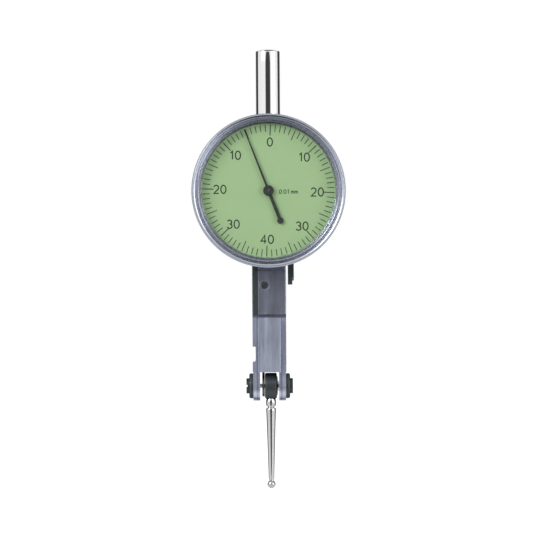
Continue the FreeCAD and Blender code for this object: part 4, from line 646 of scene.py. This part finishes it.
# %% [markdown]
# The scale is printed: eighty lines, every fifth and tenth one longer. Ink has a thickness of a few
# hundredths, so each line is a flat closed bar a hair above the dial. All bars are worked out at
# once from one unit box that is stretched, turned and set round the dial.
# %% Ink and the lines of the scale
INK = 0.012 * MM  # how far the ink stands out of the dial's face, and sinks into it
ink = finish("dial_ink", (0.006, 0.010, 0.008), 0.55, 0.0, contrast=0.2, edge=0.01 * MM, mark_depth=2e-7, handled=0.05)
DIAL_TURN = math.radians(1.9)  # how far the user has turned the bezel, clockwise
DIVISIONS = 80


def on_dial(across, up, lift):
    """Places on the dial: right of the centre, above it, and in front of its face, in metres."""
    return np.stack([dial_x + across, dial_face - lift + 0 * across, dial_z + up], -1)


def bars(name, angle, inner, outer, width):
    """Flat bars that point at the centre.

    Corner = r (sin a, cos a) + w (cos a, -sin a), with r inner or outer and w plus or minus half the width.
    """
    angle, inner, outer, width = np.broadcast_arrays(angle, inner, outer, width)
    radius = np.stack([inner, inner, outer, outer], -1)
    side = np.stack([-width, width, width, -width], -1) / 2
    turn_a = angle[:, None]
    across = radius * np.sin(turn_a) + side * np.cos(turn_a)
    up = radius * np.cos(turn_a) - side * np.sin(turn_a)
    places = np.stack([on_dial(across, up, -INK), on_dial(across, up, INK)], 1).reshape(-1, 3)
    box_faces = np.array([[0, 1, 2, 3], [7, 6, 5, 4], [0, 4, 5, 1], [1, 5, 6, 2], [2, 6, 7, 3], [3, 7, 4, 0]])
    faces = (box_faces[None] + 8 * np.arange(len(angle))[:, None, None]).reshape(-1, 4)
    mesh = bpy.data.meshes.new(name)
    mesh.from_pydata(places.tolist(), [], faces.tolist())
    return closed_object(name, mesh)


SCALE_RADIUS = 15.85 * MM
LONG_LINE, SHORT_LINE = 2.6, 1.7  # millimetres
WIDE_LINE, THIN_LINE = 0.23, 0.19
step = np.arange(DIVISIONS)
line_length = np.where(step % 5 == 0, LONG_LINE, SHORT_LINE) * MM
line_width = np.where(step % 10 == 0, WIDE_LINE, THIN_LINE) * MM
scale = bars(
    "scale_lines", step * 2 * math.pi / DIVISIONS + DIAL_TURN, SCALE_RADIUS - line_length, SCALE_RADIUS, line_width
)
scale.data.materials.append(ink)
fit_for(scale, "bezel_assembly", "pointer_black")

# %% [markdown]
# Dial figures are engraved or printed with one even stroke, like a drawing pen's. So each figure is
# a centre line, made of arcs and straight runs, and the ink is a ribbon along it: at each place the
# two sides lie half a stroke away, square to the line. The lines below are in figure heights.
# %% Figures with an even stroke
FIGURE_WIDTH = 0.62
def arc_run(centre, radii, start, end, steps=14):
    """Places on an ellipse from one angle to another, in degrees: c + (rx cos a, ry sin a)."""
    a = np.radians(np.linspace(start, end, steps))
    return np.stack([centre[0] + radii[0] * np.cos(a), centre[1] + radii[1] * np.sin(a)], -1)


STROKES = {
    "0": [arc_run((0.31, 0.5), (0.31, 0.5), 0, 360, 36)],
    "1": [np.array([(0.12, 0.76), (0.36, 1.0), (0.36, 0.0)])],
    "2": [np.vstack([arc_run((0.31, 0.70), (0.29, 0.30), 165, -38), [(0.02, 0.0), (0.62, 0.0)]])],
    "3": [np.vstack([
        arc_run((0.30, 0.75), (0.26, 0.25), 160, -75), arc_run((0.30, 0.26), (0.30, 0.27), 80, -160),
    ])],
    "4": [np.array([(0.47, 0.0), (0.47, 1.0), (0.0, 0.29), (0.66, 0.29)])],
    ".": [np.array([(0.05, 0.0), (0.05, 0.06)])],
    "m": [
        np.array([(0.0, 0.0), (0.0, 0.62)]),
        np.vstack([[(0.0, 0.40)], arc_run((0.17, 0.42), (0.17, 0.20), 150, 0, 8), [(0.34, 0.0)]]),
        np.vstack([[(0.34, 0.40)], arc_run((0.51, 0.42), (0.17, 0.20), 150, 0, 8), [(0.68, 0.0)]]),
    ],
}
# How far the pen moves on after each sign.
ADVANCE = {"0": 0.86, "1": 0.72, "2": 0.88, "3": 0.86, "4": 0.90, ".": 0.32, "m": 0.94, " ": 0.4}


def ribbon(path, width):
    """A flat closed bar along a path. Sides are p + n w / (2 cos(half turn)), with n the mean normal."""
    run = np.diff(path, axis=0)
    run = run / np.linalg.norm(run, axis=1, keepdims=True)
    before, after = np.vstack([run[:1], run]), np.vstack([run, run[-1:]])
    if np.allclose(path[0], path[-1]):
        before[0], after[-1] = run[-1], run[0]
    mean = before + after
    mean = mean / np.linalg.norm(mean, axis=1, keepdims=True)
    normal = np.stack([-mean[:, 1], mean[:, 0]], -1)
    stretch = 1 / np.clip((mean * after).sum(1, keepdims=True), 0.45, 1)
    left, right = path + normal * width / 2 * stretch, path - normal * width / 2 * stretch
    section = np.stack([
        on_dial(left[:, 0], left[:, 1], -INK), on_dial(left[:, 0], left[:, 1], INK),
        on_dial(right[:, 0], right[:, 1], INK), on_dial(right[:, 0], right[:, 1], -INK),
    ], 1)
    ends = section.mean(1, keepdims=True).repeat(4, 1)
    return np.concatenate([ends[:1], section, ends[-1:]])


def figures(name, words, height, stroke):
    """Ribbons for every figure of (text, across, up) entries, each text centred on its place."""
    meshes = []
    for text, across, up in words:
        pen = -sum(ADVANCE[sign] for sign in text) / 2 + (ADVANCE[text[-1]] - FIGURE_WIDTH) / 2
        for sign in text:
            for path in STROKES.get(sign, []):
                place = (path + (pen, -0.5)) * height + (across, up)
                meshes.append(ribbon(place, stroke))
            pen += ADVANCE[sign]
    work = bmesh.new()
    for places in meshes:
        part = skin("stroke", places)
        work.from_mesh(part.data)
        bpy.data.objects.remove(part)
    mesh = bpy.data.meshes.new(name)
    work.to_mesh(mesh)
    work.free()
    return closed_object(name, mesh)


NUMBER_RADIUS, NUMBER_HEIGHT, NUMBER_STROKE = 11.7 * MM, 1.95 * MM, 0.29 * MM
UNIT_PLACE, UNIT_HEIGHT, UNIT_STROKE = (4.75 * MM, -0.25 * MM), 0.92 * MM, 0.17 * MM
labels = [0, 10, 20, 30, 40, 30, 20, 10]
bearings = np.arange(len(labels)) * 2 * math.pi / len(labels) + DIAL_TURN
numbers = figures(
    "scale_numbers",
    [(str(n), NUMBER_RADIUS * math.sin(a), NUMBER_RADIUS * math.cos(a)) for n, a in zip(labels, bearings)],
    NUMBER_HEIGHT, NUMBER_STROKE,
)
numbers.data.materials.append(ink)
fit_for(numbers, "bezel_assembly", "pointer_black")
unit = figures("unit_mark", [("0.01 mm", *UNIT_PLACE)], UNIT_HEIGHT, UNIT_STROKE)
unit.data.materials.append(ink)
fit_for(unit, "bezel_assembly", "pointer_black")

# %% [markdown]
# The stem is what a holder grips. It is ground round, polished, and its end is a low dome with a
# small rounded shoulder. The dome's height falls with a power of the radius.
# %% The stem
SPIGOT_RADIUS = 2.0 * MM  # of the end that is pressed into the frame
STEM_EDGE = 0.15 * MM
SHOULDER = 0.75 * MM  # below the top, where the straight wall ends
DOME_HEIGHT, DOME_POWER = 0.55 * MM, 2.6
stem_low, stem_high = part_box("stem")
stem_radius = (stem_high.x - stem_low.x) / 2
dome = np.linspace(1, 0, 16)
stem_profile = np.vstack([
    [(0, stem_low.z), (SPIGOT_RADIUS, stem_low.z), (SPIGOT_RADIUS, 0.0),
     (stem_radius - STEM_EDGE, 0.0), (stem_radius, STEM_EDGE)],
    np.stack([np.full(6, stem_radius), np.linspace(2 * MM, stem_high.z - SHOULDER, 6)], -1),
    np.stack([(stem_radius - 0.05 * MM) * dome, stem_high.z - DOME_HEIGHT * dome**DOME_POWER], -1),
])
stem = turned("polished_stem", stem_profile, (0, 0, 0), UP, 96, loop=False)
stem.data.materials.append(finishes["polished_steel"])
fit_for(stem, "indicator_frame", "polished_steel", "stem")

# %% [markdown]
# The feeling arm screws into the drum. It has a short barrel to grip with a pin, a neck that gives
# way first if the gauge is dropped, and a long taper. The taper is not straight: it thins faster
# near its upper end, a gentle curve given by a power of the distance.
# %% The feeling arm and its ball
THREAD_RADIUS = 0.8 * MM  # also the neck's
BARREL_RADIUS, BARREL_FALL, BARREL_LENGTH = 1.25 * MM, 0.13 * MM, 1.75 * MM
NECK_LENGTH = 0.45 * MM
COLLAR_RADIUS, COLLAR_ROUND, COLLAR_HEIGHT = 0.98 * MM, 0.24 * MM, 0.34 * MM
TAPER_TOP = 0.36 * MM  # below the collar's top
TAPER_FALL, TAPER_POWER = 0.54 * MM, 0.85  # fall in radius
BALL_GAP = 0.30 * MM  # between the ball's top and the arm's end
PIN_RADIUS = 0.5 * MM  # of the pin that the ball sits on
hub_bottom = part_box("swivel_hub")[0].z
ball_radius = (ball_high.x - ball_low.x) / 2
ball_z = ball_low.z + ball_radius
along = np.linspace(0, 1, 28)
barrel = np.linspace(-1, 1, 12)
boss_top, boss_end = hub_bottom, hub_bottom - BARREL_LENGTH
shank_top, shank_end = boss_end - NECK_LENGTH, ball_z + ball_radius + BALL_GAP
boss_middle, boss_half = (boss_top + boss_end) / 2, (boss_top - boss_end) / 2
quarter = np.linspace(0, math.pi / 2, 8)
taper_start = shank_top - TAPER_TOP
pin_end = ball_z + 0.87 * ball_radius  # inside the ball
arm_profile = np.vstack([
    # The thread in the drum, then the barrel.
    [(0, stylus_high.z), (THREAD_RADIUS, stylus_high.z), (THREAD_RADIUS, boss_top)],
    np.stack([BARREL_RADIUS - BARREL_FALL * barrel**2, boss_middle - barrel * boss_half], -1),
    # The neck, the collar and the taper.
    [(0.86 * MM, boss_end - 0.04 * MM), (THREAD_RADIUS, boss_end - 0.14 * MM),
     (THREAD_RADIUS, shank_top + 0.12 * MM), (0.88 * MM, shank_top + 0.02 * MM)],
    np.stack([COLLAR_RADIUS + COLLAR_ROUND * np.sin(quarter), shank_top - COLLAR_HEIGHT * (1 - np.cos(quarter))], -1),
    np.stack([COLLAR_RADIUS + COLLAR_ROUND - TAPER_FALL * along**TAPER_POWER,
              taper_start + (shank_end - taper_start) * along], -1)[1:],
    # The end and the pin.
    [(0.60 * MM, shank_end - 0.08 * MM), (PIN_RADIUS, shank_end - 0.16 * MM), (PIN_RADIUS, pin_end), (0, pin_end)],
])
arm = turned("feeling_arm", arm_profile, (stylus_x, 0, 0), UP, 72, loop=False)
arm.data.materials.append(finishes["arm_steel"])
fit_for(arm, "stylus_assembly", "polished_steel", "stylus")

latitude = np.linspace(-math.pi / 2, math.asin(0.86), 40)
ball_profile = np.vstack([
    np.stack([ball_radius * np.cos(latitude), ball_z + ball_radius * np.sin(latitude)], -1),
    [(0.505 * MM, ball_z + 0.90 * ball_radius), (0.502 * MM, ball_z + 0.96 * ball_radius),
     (0, ball_z + 0.96 * ball_radius)],
])
ball = turned("lapped_ball", ball_profile, (stylus_x, 0, 0), UP, 64, loop=False)
ball.data.materials.append(finishes["ball_steel"])
fit_for(ball, "stylus_assembly", "ball_steel", "contact_ball")

# %% [markdown]
# The last step brings the scene up to date.
# %% Update the scene
bpy.context.view_layer.update()
